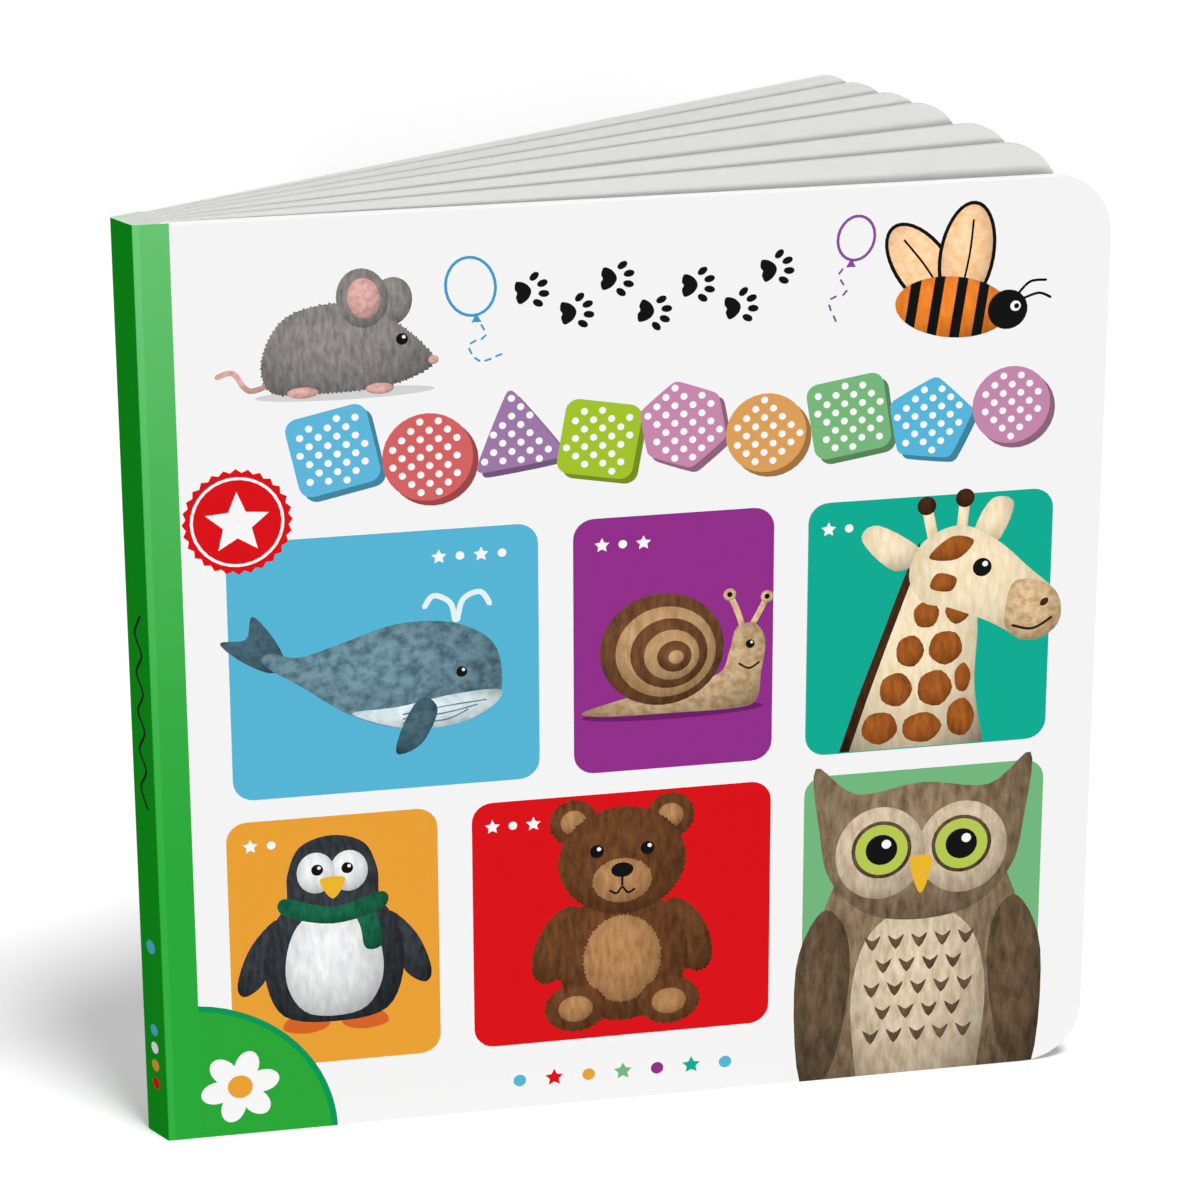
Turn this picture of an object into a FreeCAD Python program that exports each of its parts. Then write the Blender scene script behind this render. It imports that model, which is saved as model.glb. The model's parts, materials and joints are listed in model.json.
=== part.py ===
"""A square children's board book, standing upright and fanned open.

The cover is folded card: a front panel and a back panel swing on the two folds of a narrow
spine panel. Five stiff leaves are joined to each other along the spine as one page block, and
each leaf leans further from the back cover than the one behind it.

Frame: +Z is up along the spine, +X runs from the spine towards the fore edges of the closed
book and +Y runs from the front cover to the back cover. The origin is at the foot of the
spine, half way across it, on the inner face of the spine panel. All sizes are in millimetres
and degrees.
"""
import FreeCAD, Part
import Sketcher
import os

# Driving sizes. An opening is the angle between a panel or leaf and the back cover.
SIZES = (
    ("page_width", 165.0, "fold to fore edge"),
    ("page_height", 165.0, "foot to head"),
    ("corner_radius", 10.7, "rounding of the fore-edge corners"),
    ("cover_board", 0.92, "thickness of a cover panel"),
    ("spine_board", 0.46, "thickness of the spine panel"),
    ("leaf_board", 0.92, "thickness of one leaf"),
    ("fold_gap", 0.12, "room for a cover to turn past the spine and the leaves"),
    ("gutter_depth", 2.5, "how far out from the spine the leaves are glued together"),
    ("front_opening", 28.0, "front cover"),
    ("leaf_1_opening", 20.1, "leaf next to the front cover"),
    ("leaf_2_opening", 14.9, "second leaf"),
    ("leaf_3_opening", 8.9, "third leaf"),
    ("leaf_4_opening", 5.8, "fourth leaf"),
    ("leaf_5_opening", 2.6, "leaf next to the back cover"),
)
LEAVES = [name.removesuffix("_opening") for name, _, _ in SIZES if name.startswith("leaf_")
          and name.endswith("_opening")]
FIRST, LAST = LEAVES[0], LEAVES[-1]

# A cover closed flat on the leaf next to it lies one fold gap from that leaf.
CLOSED = "(sizes.cover_board / 2 + sizes.fold_gap + sizes.leaf_board / 2)"

# Sizes worked out from the driving ones. A root is where the middle plane of a leaf meets the
# spine, and the round edge of a cover is flush with the outer face of the spine panel.
WORKED_OUT = [
    ("fold_x", "=sizes.cover_board / 2 - sizes.spine_board"),
    ("front_pitch", f"={CLOSED} / cos(sizes.{FIRST}_opening) - fold_x * tan(sizes.{FIRST}_opening)"),
    ("back_pitch", f"={CLOSED} / cos(sizes.{LAST}_opening) + fold_x * tan(sizes.{LAST}_opening)"),
    ("fold_spacing", f"=front_pitch + {len(LEAVES) - 1} * sizes.leaf_board + back_pitch"),
    ("leaf_reach", "=fold_x + sizes.page_width"),
    ("spine_half_width", "=(fold_spacing - sizes.cover_board) / 2 - sizes.fold_gap"),
    *[(f"{leaf}_root", f"=front_pitch - fold_spacing / 2 + {place} * sizes.leaf_board")
      for place, leaf in enumerate(LEAVES)],
]

START, END, CENTRE = 1, 2, 3  # the points of an edge in a sketch
ORIGIN = (-1, START)
CORNERS = ("front_inner", "front_outer", "back_outer", "back_inner")


def fill_sheet(name, rows):
    """Makes a sheet of names and values, with each name as the alias of its value."""
    sheet = doc.addObject("Spreadsheet::Sheet", name)
    for row, (alias, value, *note) in enumerate(rows, start=1):
        sheet.set(f"A{row}", alias)
        sheet.set(f"B{row}", str(value))
        sheet.setAlias(f"B{row}", alias)
        if note:
            sheet.set(f"C{row}", note[0])
    doc.recompute()
    return sheet


def new_plan(body, name):
    """An empty sketch on the horizontal plane of a body's own origin."""
    plan = body.newObject("Sketcher::SketchObject", f"{name}_plan")
    ground = next(f for f in body.Origin.OriginFeatures if f.Role == "XY_Plane")
    plan.AttachmentSupport = [(ground, "")]
    plan.MapMode = "FlatFace"
    return plan


def drive(plan, constraint, name, formula):
    """Adds a dimension to a sketch and ties it to a formula."""
    index = plan.addConstraint(constraint)
    plan.renameConstraint(index, name)
    plan.setExpression(f"Constraints.{name}", formula)


def place_point(plan, edge, name, x_formula, y_formula, at):
    """Ties the start of an edge to a place given by two formulas, now at a known point."""
    drive(plan, Sketcher.Constraint("DistanceX", *ORIGIN, edge, START, at.x), f"{name}_x", x_formula)
    drive(plan, Sketcher.Constraint("DistanceY", *ORIGIN, edge, START, at.y), f"{name}_y", y_formula)


def draw_outline(plan, formulas):
    """Draws a closed four-sided plan whose corners are given by pairs of formulas."""
    points = [FreeCAD.Vector(*(plan.evalExpression(f) for f in pair), 0) for pair in formulas]
    sides = [Part.LineSegment(p, q) for p, q in zip(points, points[1:] + points[:1])]
    plan.addGeometry(sides, False)
    for edge in range(len(sides)):
        plan.addConstraint(Sketcher.Constraint("Coincident", edge, END, (edge + 1) % len(sides), START))
    for edge, (name, pair) in enumerate(zip(CORNERS, formulas)):
        place_point(plan, edge, name, *pair, points[edge])


def raise_plan(body, plan, name):
    """Pads a plan upwards by the full height of the book."""
    pad = body.newObject("PartDesign::Pad", name)
    pad.Profile = plan
    pad.setExpression("Length", "sizes.page_height")
    return pad


def round_fore_corners(body, pad, board):
    """Rounds the two corners of each board at its fore edge, seen from the board's face."""
    doc.recompute()
    slack = board / 10
    corners = [
        f"Edge{number}"
        for number, edge in enumerate(pad.Shape.Edges, start=1)
        if abs(edge.Length - board) < slack
        and edge.BoundBox.ZLength < slack
        and edge.CenterOfMass.x > sizes.page_width / 2
    ]
    fillet = body.newObject("PartDesign::Fillet", f"{body.Name}_fore_corners")
    fillet.Base = (pad, corners)
    fillet.setExpression("Radius", "sizes.corner_radius")


def cover_panel(name, side):
    """One cover panel: a flat board whose edge at the fold is rounded about the fold line.

    The side is -1 for the front cover and +1 for the back cover.
    """
    body = doc.addObject("PartDesign::Body", name)
    plan = new_plan(body, name)
    half, reach = sizes.cover_board / 2, sizes.page_width
    corners = [FreeCAD.Vector(x, y, 0) for x, y in ((0, -half), (reach, -half), (reach, half), (0, half))]
    fold = Part.Circle(FreeCAD.Vector(0, 0, 0), FreeCAD.Vector(0, 0, 1), half)
    quarter = fold.parameter(corners[3])
    sides = [Part.LineSegment(p, q) for p, q in zip(corners, corners[1:])]
    plan.addGeometry([*sides, Part.ArcOfCircle(fold, quarter, 3 * quarter)], False)
    outer, fore, inner, round_edge = range(4)
    plan.addConstraint([
        Sketcher.Constraint("Coincident", outer, END, fore, START),
        Sketcher.Constraint("Coincident", fore, END, inner, START),
        Sketcher.Constraint("Tangent", inner, END, round_edge, START),
        Sketcher.Constraint("Tangent", round_edge, END, outer, START),
        Sketcher.Constraint("Coincident", round_edge, CENTRE, *ORIGIN),
        Sketcher.Constraint("Horizontal", outer),
        Sketcher.Constraint("Vertical", fore),
        Sketcher.Constraint("Horizontal", inner),
    ])
    drive(plan, Sketcher.Constraint("Radius", round_edge, half), "round_edge", "sizes.cover_board / 2")
    drive(plan, Sketcher.Constraint("DistanceX", *ORIGIN, fore, START, reach), "reach", "sizes.page_width")
    pad = raise_plan(body, plan, f"{name}_board")
    round_fore_corners(body, pad, sizes.cover_board)
    body.setExpression("Placement.Base.x", "worked_out.fold_x")
    body.setExpression("Placement.Base.y", f"{side} * worked_out.fold_spacing / 2")
    return body


def front_cover():
    """The front cover, swung open about the front fold of the spine."""
    body = cover_panel("front_cover", side=-1)
    body.Placement.Rotation = FreeCAD.Rotation(FreeCAD.Vector(0, 0, -1), sizes.front_opening)
    body.setExpression("Placement.Rotation.Angle", "sizes.front_opening")
    return body


def back_cover():
    """The back cover, square to the spine."""
    return cover_panel("back_cover", side=1)


def spine():
    """The spine panel: a narrow strip between the round edges of the two covers."""
    body = doc.addObject("PartDesign::Body", "spine")
    plan = new_plan(body, "spine")
    draw_outline(plan, [
        ("-sizes.spine_board", "-worked_out.spine_half_width"),
        ("0", "-worked_out.spine_half_width"),
        ("0", "worked_out.spine_half_width"),
        ("-sizes.spine_board", "worked_out.spine_half_width"),
    ])
    raise_plan(body, plan, "spine_panel")
    return body


def glue_leaves(body):
    """The gutter beside the spine, filled from the middle of the first leaf to that of the last."""
    plan = new_plan(body, "gutter")
    first, last = (
        f"worked_out.{leaf}_root - sizes.gutter_depth * tan(sizes.{leaf}_opening)" for leaf in (FIRST, LAST)
    )
    draw_outline(plan, [
        ("0", f"worked_out.{FIRST}_root"),
        ("sizes.gutter_depth", first),
        ("sizes.gutter_depth", last),
        ("0", f"worked_out.{LAST}_root"),
    ])
    raise_plan(body, plan, "gutter")


def add_leaf(body, leaf):
    """One leaf: a flat board that starts on the spine panel and leans at its own angle."""
    opening = f"sizes.{leaf}_opening"
    half = "sizes.leaf_board / 2"
    plan = new_plan(body, leaf)
    plan.AttachmentOffset = FreeCAD.Placement(
        FreeCAD.Vector(0, 0, 0), FreeCAD.Rotation(FreeCAD.Vector(0, 0, -1), getattr(sizes, f"{leaf}_opening"))
    )
    plan.setExpression("AttachmentOffset.Base.y", f"worked_out.{leaf}_root")
    plan.setExpression("AttachmentOffset.Rotation.Angle", opening)
    draw_outline(plan, [
        (f"{half} * tan({opening})", f"-{half}"),
        ("worked_out.leaf_reach", f"-{half}"),
        ("worked_out.leaf_reach", half),
        (f"-{half} * tan({opening})", half),
    ])
    return raise_plan(body, plan, leaf)


def page_block():
    """All the leaves as one piece, joined along the gutter."""
    body = doc.addObject("PartDesign::Body", "page_block")
    glue_leaves(body)
    pads = [add_leaf(body, leaf) for leaf in LEAVES]
    round_fore_corners(body, pads[-1], sizes.leaf_board)
    return body


def check(nodes):
    """Stops with the names of the features and bodies that failed."""
    faults = [o.Label for o in doc.Objects if {"Invalid", "Error"} & set(o.State)]
    faults += [n.Label for n in nodes if n.Shape.isNull() or not n.Shape.isValid()]
    if faults:
        raise RuntimeError(f"not built: {', '.join(faults)}")


doc = FreeCAD.newDocument("board_book")
sizes = fill_sheet("sizes", SIZES)
worked_out = fill_sheet("worked_out", WORKED_OUT)
nodes = [front_cover(), spine(), page_block(), back_cover()]
doc.recompute()
check(nodes)
os.makedirs("parts", exist_ok=True)
for node in nodes:
    node.Shape.exportStep(f"parts/{node.Label}.step")
    box = node.Shape.BoundBox
    print(f"{node.Label}: {node.Shape.Volume:.1f} mm3, "
          f"{box.XLength:.2f} x {box.YLength:.2f} x {box.ZLength:.2f} mm")
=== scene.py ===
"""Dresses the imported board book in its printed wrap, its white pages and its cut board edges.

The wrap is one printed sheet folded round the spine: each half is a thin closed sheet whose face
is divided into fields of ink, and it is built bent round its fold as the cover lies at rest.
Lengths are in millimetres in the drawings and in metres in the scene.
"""
import json
import logging
import math
from collections.abc import Callable, Sequence
from dataclasses import dataclass, field
from enum import Enum

import bmesh
import bpy
from mathutils import Matrix, Vector
from mathutils.geometry import delaunay_2d_cdt


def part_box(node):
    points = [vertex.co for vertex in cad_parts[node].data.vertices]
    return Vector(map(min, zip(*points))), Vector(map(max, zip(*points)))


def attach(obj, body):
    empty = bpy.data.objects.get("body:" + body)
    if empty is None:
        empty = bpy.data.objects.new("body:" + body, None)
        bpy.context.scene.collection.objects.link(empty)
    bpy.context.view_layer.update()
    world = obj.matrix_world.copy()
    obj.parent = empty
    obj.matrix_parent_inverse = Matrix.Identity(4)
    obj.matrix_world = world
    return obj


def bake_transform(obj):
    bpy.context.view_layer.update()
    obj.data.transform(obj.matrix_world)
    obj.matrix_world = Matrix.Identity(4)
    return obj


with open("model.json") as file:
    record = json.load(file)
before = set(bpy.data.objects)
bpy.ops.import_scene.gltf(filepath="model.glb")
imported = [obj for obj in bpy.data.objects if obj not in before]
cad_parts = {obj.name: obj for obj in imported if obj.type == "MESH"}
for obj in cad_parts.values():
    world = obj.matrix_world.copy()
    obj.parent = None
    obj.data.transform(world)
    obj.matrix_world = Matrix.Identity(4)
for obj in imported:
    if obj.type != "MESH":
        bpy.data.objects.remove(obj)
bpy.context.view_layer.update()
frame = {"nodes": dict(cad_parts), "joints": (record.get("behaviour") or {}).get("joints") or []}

LOG = logging.getLogger("board_book")
MM = 0.001
SHEET = 0.04  # thickness of a printed sheet with its film
SPOT = 0.02  # thickness of a spot of ink printed on top of a sheet
CORNER = 10.7  # radius of the round fore corners
BEYOND = 2  # how far a strip is drawn past the foot and the head, where the sheet ends
WELD = 0.001 * MM  # points that are nearer than this become one

Point = tuple[float, float]
Outline = list[Point]
Plane = tuple[Vector, float]
Socket = bpy.types.NodeSocket


def linear(colour: str) -> tuple[float, float, float, float]:
    """Turns a colour into linear light.

    Args:
        colour: sRGB hex, such as "2CA739".

    Returns:
        Linear red, green and blue, and an alpha of 1.
    """
    channels = [int(colour[i:i + 2], 16) / 255 for i in (0, 2, 4)]
    light = [c / 12.92 if c <= 0.04045 else ((c + 0.055) / 1.055) ** 2.4 for c in channels]
    return (*light, 1.0)


def tint(colour: str, share: float) -> str:
    """The sRGB hex whose channels are a share of a colour's, up to full white."""
    return "".join(f"{min(255, round(int(colour[i:i + 2], 16) * share)):02X}" for i in (0, 2, 4))


def add_object(name: str, data: bpy.types.ID) -> bpy.types.Object:
    """Puts an object with its data into the scene.

    Args:
        name: its name.
        data: its mesh, light or camera.

    Returns:
        The object.
    """
    added = bpy.data.objects.new(name, data)
    bpy.context.scene.collection.objects.link(added)
    return added


class Nodes:
    """A node tree, with short ways to add the nodes that finishes and recipes share."""

    def __init__(self, tree: bpy.types.NodeTree) -> None:
        """Takes the tree."""
        self.tree = tree

    @classmethod
    def of(cls, owner: bpy.types.Material | bpy.types.World) -> "Nodes":
        """Empties the tree of a material or a world.

        Args:
            owner: the material or the world.

        Returns:
            The empty tree.
        """
        owner.use_nodes = True
        owner.node_tree.nodes.clear()
        return cls(owner.node_tree)

    def add(self, kind: str, inputs: dict | None = None, **settings) -> bpy.types.NodeOutputs:
        """Adds a node with its settings, its values and its links.

        Args:
            kind: the node's type name.
            inputs: socket name or number to a value, or to the socket that feeds it.
            **settings: properties of the node.

        Returns:
            The node's outputs.
        """
        node = self.tree.nodes.new(kind)
        for name, value in settings.items():
            setattr(node, name, value)
        for name, value in (inputs or {}).items():
            if isinstance(value, Socket):
                self.tree.links.new(value, node.inputs[name])
            else:
                node.inputs[name].default_value = value
        return node.outputs

    def math(self, operation: str, *values: object) -> Socket:
        """Adds a sum, a product or the like of some values."""
        return self.add("ShaderNodeMath", dict(enumerate(values)), operation=operation)[0]

    def vector(self, operation: str, *values: object) -> Socket:
        """Adds a sum, a product or the like of some vectors."""
        outputs = self.add("ShaderNodeVectorMath", dict(enumerate(values)), operation=operation)
        return outputs["Value" if operation in ("DOT_PRODUCT", "LENGTH") else "Vector"]

    def scaled(self, vector: Socket, scale: Socket) -> Socket:
        """Adds the product of a vector and a number."""
        return self.add("ShaderNodeVectorMath", {0: vector, "Scale": scale}, operation="SCALE")["Vector"]

    def spread(self, value: Socket, low: float, high: float,
               first: float = 0.0, last: float = 1.0) -> Socket:
        """Maps a range of values onto another one, whose ends hold beyond it.

        Args:
            value: what is mapped.
            low: the value that becomes first.
            high: the value that becomes last.
            first: the start of the new range.
            last: the end of the new range.

        Returns:
            The mapped value.
        """
        return self.add("ShaderNodeMapRange", {
            "Value": value, "From Min": low, "From Max": high, "To Min": first, "To Max": last,
        })["Result"]

    def noise(self, place: Socket, size: float, **inputs: float) -> Socket:
        """Adds a noise whose blobs are some millimetres across."""
        return self.add("ShaderNodeTexNoise", {"Vector": place, "Scale": 1 / (size * MM), **inputs})["Fac"]

    def mix(self, share: Socket, first: object, second: object) -> Socket:
        """Adds a mix of two colours."""
        return self.add("ShaderNodeMix", {"Factor": share, 6: first, 7: second}, data_type="RGBA")[2]

    def surface(self, colour: Socket, relief: Socket, depth: float, strength: float,
                roughness: float, ior: float, specular: float) -> None:
        """Ends a material's tree with its shader.

        Args:
            colour: its colour.
            relief: the height of its fine bumps.
            depth: how deep they are, in mm.
            strength: how much of them shows.
            roughness: the shader's roughness.
            ior: the shader's index of refraction.
            specular: the shader's specular level.
        """
        bump = self.add("ShaderNodeBump", {"Height": relief, "Distance": depth * MM, "Strength": strength})
        shader = self.add("ShaderNodeBsdfPrincipled", {
            "Base Color": colour, "Roughness": roughness, "IOR": ior, "Specular IOR Level": specular,
            "Normal": bump["Normal"],
        })
        self.add("ShaderNodeOutputMaterial", {"Surface": shader["BSDF"]})


def made_once(name: str, dress: Callable[[Nodes], None]) -> bpy.types.Material:
    """The material of a name.

    Args:
        name: the material's name.
        dress: fills the tree of a new material.

    Returns:
        The material, new or found.
    """
    material = bpy.data.materials.get(name)
    if material is None:
        material = bpy.data.materials.new(name)
        dress(Nodes.of(material))
    return material


class Pattern(Enum):
    """How an ink varies over the field that it fills."""

    PLAIN = "plain"
    FUR = "fur"
    SPECKLE = "speckle"
    FADE = "fade"


@dataclass(frozen=True)
class Ink:
    """Offset ink on coated card under gloss polypropylene film.

    The film gives a soft even sheen with a faint orange peel. The ink under it is flat, or has
    the fine streaks or speckles of a printed picture, or fades from the foot to the head.
    """

    name: str
    colour: str
    second: str = ""
    pattern: Pattern = Pattern.PLAIN
    grain: float = 0.7  # mm across a streak or speckle

    PEEL_SIZE = 1.6  # mm between the ripples of the film
    PEEL_DEPTH = 0.003  # mm
    MOTTLE = 0.3  # mm across a blob of the faint mottle of a flat ink
    MOTTLED = 0.97  # share of its colour that the mottle leaves
    FADE = (0.045, 0.165)  # metres above the foot between which an ink fades
    FADE_POWER = 1.6
    LEAN = 20.0  # degrees that fur leans
    STREAK = 0.32  # width of a streak of fur, as a share of its length
    CONTRAST = {Pattern.FUR: (0.32, 0.7), Pattern.SPECKLE: (0.4, 0.64)}
    LIGHT_SIDE = (-0.10, 0.20, 0.0)  # how much lighter a figure is to the right and above
    LIGHT_MIDDLE = 1.16
    DARKER_RIM = -0.34

    def material(self) -> bpy.types.Material:
        """The material of this ink, made once."""
        return made_once(f"film_laminated_{self.name}", self._dress)

    def _dress(self, nodes: Nodes) -> None:
        """Fills the material's tree.

        Args:
            nodes: the tree.
        """
        place = nodes.add("ShaderNodeUVMap", uv_map="sheet")["UV"]
        peel = nodes.noise(place, self.PEEL_SIZE, Detail=1.0)
        nodes.surface(self._colour(nodes, place), peel, self.PEEL_DEPTH, 0.5,
                      roughness=0.38, ior=1.49, specular=0.012)

    def _colour(self, nodes: Nodes, place: Socket) -> Socket:
        """The ink's colour over the sheet.

        Args:
            nodes: the material's tree.
            place: where a point lies on the flat sheet.

        Returns:
            The colour.
        """
        inks = linear(self.colour), linear(self.second or tint(self.colour, self.MOTTLED))
        if self.pattern is Pattern.FADE:
            height = nodes.add("ShaderNodeSeparateXYZ", {"Vector": place})["Y"]
            return nodes.mix(nodes.math("POWER", nodes.spread(height, *self.FADE), self.FADE_POWER), *inks)
        grain = {"Detail": 5.0, "Roughness": 0.6}
        if self.pattern is Pattern.PLAIN:
            return nodes.mix(nodes.spread(nodes.noise(place, self.MOTTLE, **grain), 0.0, 1.0), *inks)
        if self.pattern is Pattern.FUR:
            turn = (0, 0, math.radians(self.LEAN))
            place = nodes.add("ShaderNodeMapping", {
                "Vector": place, "Rotation": turn, "Scale": (1.0, self.STREAK, 1.0),
            })["Vector"]
        share = nodes.spread(nodes.noise(place, self.grain, **grain), *self.CONTRAST[self.pattern])
        return nodes.scaled(nodes.mix(share, *inks), self._roundness(nodes))

    def _roundness(self, nodes: Nodes) -> Socket:
        """How light a printed figure is: lighter at its upper left, darker towards its rim.

        Args:
            nodes: the material's tree.

        Returns:
            The share of light.
        """
        form = nodes.add("ShaderNodeUVMap", uv_map="form")["UV"]
        lit = nodes.vector("DOT_PRODUCT", form, self.LIGHT_SIDE)
        rim = nodes.vector("DOT_PRODUCT", form, form)
        return nodes.math("ADD", lit, nodes.math("MULTIPLY_ADD", rim, self.DARKER_RIM, self.LIGHT_MIDDLE))


WHITE = Ink("paper_white", "F8F8F8")
# painted highlight: a brighter white than the paper, printed in a strip along the cover's head
HEAD_HIGHLIGHT = Ink("edge_white", "FFFFFF")
BAND_GREEN = Ink("band_green", "2BA83A", "69C473", Pattern.FADE)
# painted highlight: a paler green strip along the rounded fold
FOLD_HIGHLIGHT_GREEN = Ink("band_fold_green", "35B044", "72CC7C", Pattern.FADE)
SPINE_GREEN = Ink("spine_green", "029814")
BADGE_RIM = Ink("badge_rim_green", "0B9A57")
BADGE_GREEN = Ink("badge_green", "2CA839")
SKY_BLUE = Ink("sky_blue", "58B7D8")
PLUM = Ink("plum", "93308C")
PLUM_SHADE = Ink("plum_shade", "6F1F69")
TEAL = Ink("teal", "12AE94")
MARIGOLD = Ink("marigold", "EDA337")
SCARLET = Ink("scarlet", "DD151B")
MEADOW = Ink("meadow_green", "74BA80")
BLACK = Ink("black", "141414")
DOT_WHITE = Ink("spot_white", "FBFBFB")
BALLOON_BLUE = Ink("balloon_blue", "3E9CCB")
BALLOON_PLUM = Ink("balloon_plum", "8C4C9E")
SLATE = Ink("slate_skin", "6F909C", "48636E", Pattern.SPECKLE, 2.2)
SLATE_DARK = Ink("slate_fin", "4A6773", "36505B", Pattern.SPECKLE, 1.6)
PALE_BELLY = Ink("pale_belly", "DCE7EA", "B9CDD4", Pattern.SPECKLE, 2.4)
SPRAY = Ink("spray", "E9F6FB")
SNAIL_SKIN = Ink("snail_skin", "D9BE97", "B99468", Pattern.SPECKLE, 1.4)
SHELL = Ink("shell_brown", "7B5233", "4E3320", Pattern.FUR, 1.2)
SHELL_PALE = Ink("shell_pale", "C9A479", "A37C52", Pattern.FUR, 1.2)
CREAM_COAT = Ink("cream_coat", "F1E3C6", "DCC69C", Pattern.FUR, 1.1)
RUST_COAT = Ink("rust_coat", "A85F28", "7E4218", Pattern.FUR, 1.2)
DARK_COAT = Ink("dark_coat", "4A2D1B", "2F1C10", Pattern.FUR, 1.0)
NIGHT_DOWN = Ink("night_down", "24272B", "3D4348", Pattern.FUR, 0.9)
WHITE_DOWN = Ink("white_down", "EEEFEF", "CFD2D3", Pattern.FUR, 1.2)
SCARF = Ink("scarf_green", "1E6B4B", "134B35", Pattern.FUR, 0.8)
BEAK = Ink("beak", "F0B92F")
FOOT = Ink("webbed_foot", "D9662A")
BEAR_COAT = Ink("bear_coat", "73492B", "4B2D18", Pattern.FUR, 1.1)
BEAR_PALE = Ink("bear_pale", "B98B5E", "94683F", Pattern.FUR, 1.1)
OWL_COAT = Ink("owl_coat", "9A8468", "5F4D3A", Pattern.FUR, 1.5)
OWL_WING = Ink("owl_wing", "6F5B46", "433526", Pattern.FUR, 1.5)
OWL_PALE = Ink("owl_pale", "DFCFB6", "B49D7E", Pattern.FUR, 1.3)
OWL_EYE = Ink("owl_eye", "B9CC55")
MOUSE_COAT = Ink("mouse_coat", "96918E", "6B6765", Pattern.FUR, 0.8)
MOUSE_PINK = Ink("mouse_pink", "DDB0AA", "C58F88", Pattern.SPECKLE, 1.0)
SHADE = Ink("soft_shade", "D6D6D6")
HONEY = Ink("honey_orange", "EC8A33", "D9701F", Pattern.FUR, 0.9)
WING_GLASS = Ink("wing_pale", "F9D3A8", "F3BB83", Pattern.SPECKLE, 1.6)


@dataclass(frozen=True)
class CutBoard:
    """Solid bleached board, cut with a guillotine.

    The cut shows pale fibres, a little greyer than the faces, and a fine line where the two
    plies of each board are glued together.
    """

    name: str
    colour: str
    stain: str  # colour of the fibres beside the printed green
    stain_reach: float  # mm from the spine that the green shows
    planes: Sequence[Plane] = ()  # the normal of each glue line's plane, and its distance in metres

    FIBRE = 0.35  # mm, drawn coarser than real fibres so that it shows
    FIBRE_DEPTH = 0.02  # mm
    FIBRE_SHADE = 0.965  # share of the paper's colour between the fibres
    GLUE_LINE = 0.05  # mm across
    GLUE_SHADE = 0.8  # share of the paper's colour in the glue line
    STAIN_EDGE = 0.4  # mm over which the stain ends

    def material(self) -> bpy.types.Material:
        """The material of this board, made once."""
        return made_once(self.name, self._dress)

    def _dress(self, nodes: Nodes) -> None:
        """Fills the material's tree.

        Args:
            nodes: the tree.
        """
        place = nodes.add("ShaderNodeTexCoord")["Object"]
        fibre = nodes.noise(place, self.FIBRE, Detail=4.0, Roughness=0.7)
        paper = nodes.mix(fibre, linear(self.colour), linear(tint(self.colour, self.FIBRE_SHADE)))
        reach = nodes.vector("LENGTH", nodes.vector("MULTIPLY", place, (1.0, 1.0, 0.0)))
        stain_from = (self.stain_reach - self.STAIN_EDGE) * MM
        stained = nodes.spread(reach, stain_from, self.stain_reach * MM, 1.0, 0.0)
        paper = nodes.mix(stained, paper, linear(self.stain))
        if self.planes:
            width = self.GLUE_LINE * MM
            line = nodes.spread(self._nearest(nodes, place), width / 2, width, 1.0, 0.0)
            paper = nodes.mix(line, paper, linear(tint(self.colour, self.GLUE_SHADE)))
        nodes.surface(paper, fibre, self.FIBRE_DEPTH, 0.25, roughness=0.9, ior=1.5, specular=0.2)

    def _nearest(self, nodes: Nodes, place: Socket) -> Socket:
        """The distance from a point to the nearest plane.

        Args:
            nodes: the material's tree.
            place: the point.

        Returns:
            The distance.
        """
        nearest = None
        for normal, distance in self.planes:
            along = nodes.vector("DOT_PRODUCT", place, normal)
            off = nodes.math("ABSOLUTE", nodes.math("SUBTRACT", along, distance))
            nearest = nodes.math("MINIMUM", nearest, off) if nearest else off
        return nearest


@dataclass(frozen=True)
class CoatedPage:
    """White coated card under matt aqueous varnish, as the inner pages are.

    The varnish gives a dull even white with a very faint mottle.
    """

    colour: str = "E4E4E3"

    MOTTLE = 9.0  # mm across a patch
    MOTTLED = 0.97  # share of its colour that the mottle leaves
    TOOTH = 0.25  # mm across a grain of the coating
    TOOTH_DEPTH = 0.004  # mm

    def material(self) -> bpy.types.Material:
        """The material of every inner page, made once."""
        return made_once("varnished_coated_card", self._dress)

    def _dress(self, nodes: Nodes) -> None:
        """Fills the material's tree.

        Args:
            nodes: the tree.
        """
        place = nodes.add("ShaderNodeTexCoord")["Object"]
        patches = nodes.noise(place, self.MOTTLE)
        colour = nodes.mix(patches, linear(self.colour), linear(tint(self.colour, self.MOTTLED)))
        tooth = nodes.noise(place, self.TOOTH)
        nodes.surface(colour, tooth, self.TOOTH_DEPTH, 0.5, roughness=0.6, ior=1.5, specular=0.3)


# Outlines are in millimetres, with x to the right and y up.


def signed_area(outline: Sequence[Point]) -> float:
    """The area of an outline, which is negative where it is drawn clockwise."""
    return sum(a[0] * b[1] - b[0] * a[1] for a, b in zip(outline, [*outline[1:], outline[0]])) / 2


def anticlockwise(outline: Outline) -> Outline:
    """An outline, drawn anticlockwise."""
    return outline if signed_area(outline) > 0 else outline[::-1]


def extent(points: Sequence[Point]) -> tuple[float, float, float, float]:
    """The least and the greatest x of some points, and the least and the greatest y."""
    across, up = zip(*points)
    return min(across), max(across), min(up), max(up)


def strip(left: float, right: float, height: float) -> Outline:
    """An upright strip from below the foot to above the head of a sheet of some height."""
    return [(left, -BEYOND), (right, -BEYOND), (right, height + BEYOND), (left, height + BEYOND)]


def arc(x: float, y: float, radius: float, start: float, steps: int) -> Outline:
    """A quarter circle about a point, drawn anticlockwise from a start angle in degrees, in some steps."""
    angles = [math.radians(start + 90 * step / steps) for step in range(steps + 1)]
    return [(x + radius * math.cos(angle), y + radius * math.sin(angle)) for angle in angles]


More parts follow.
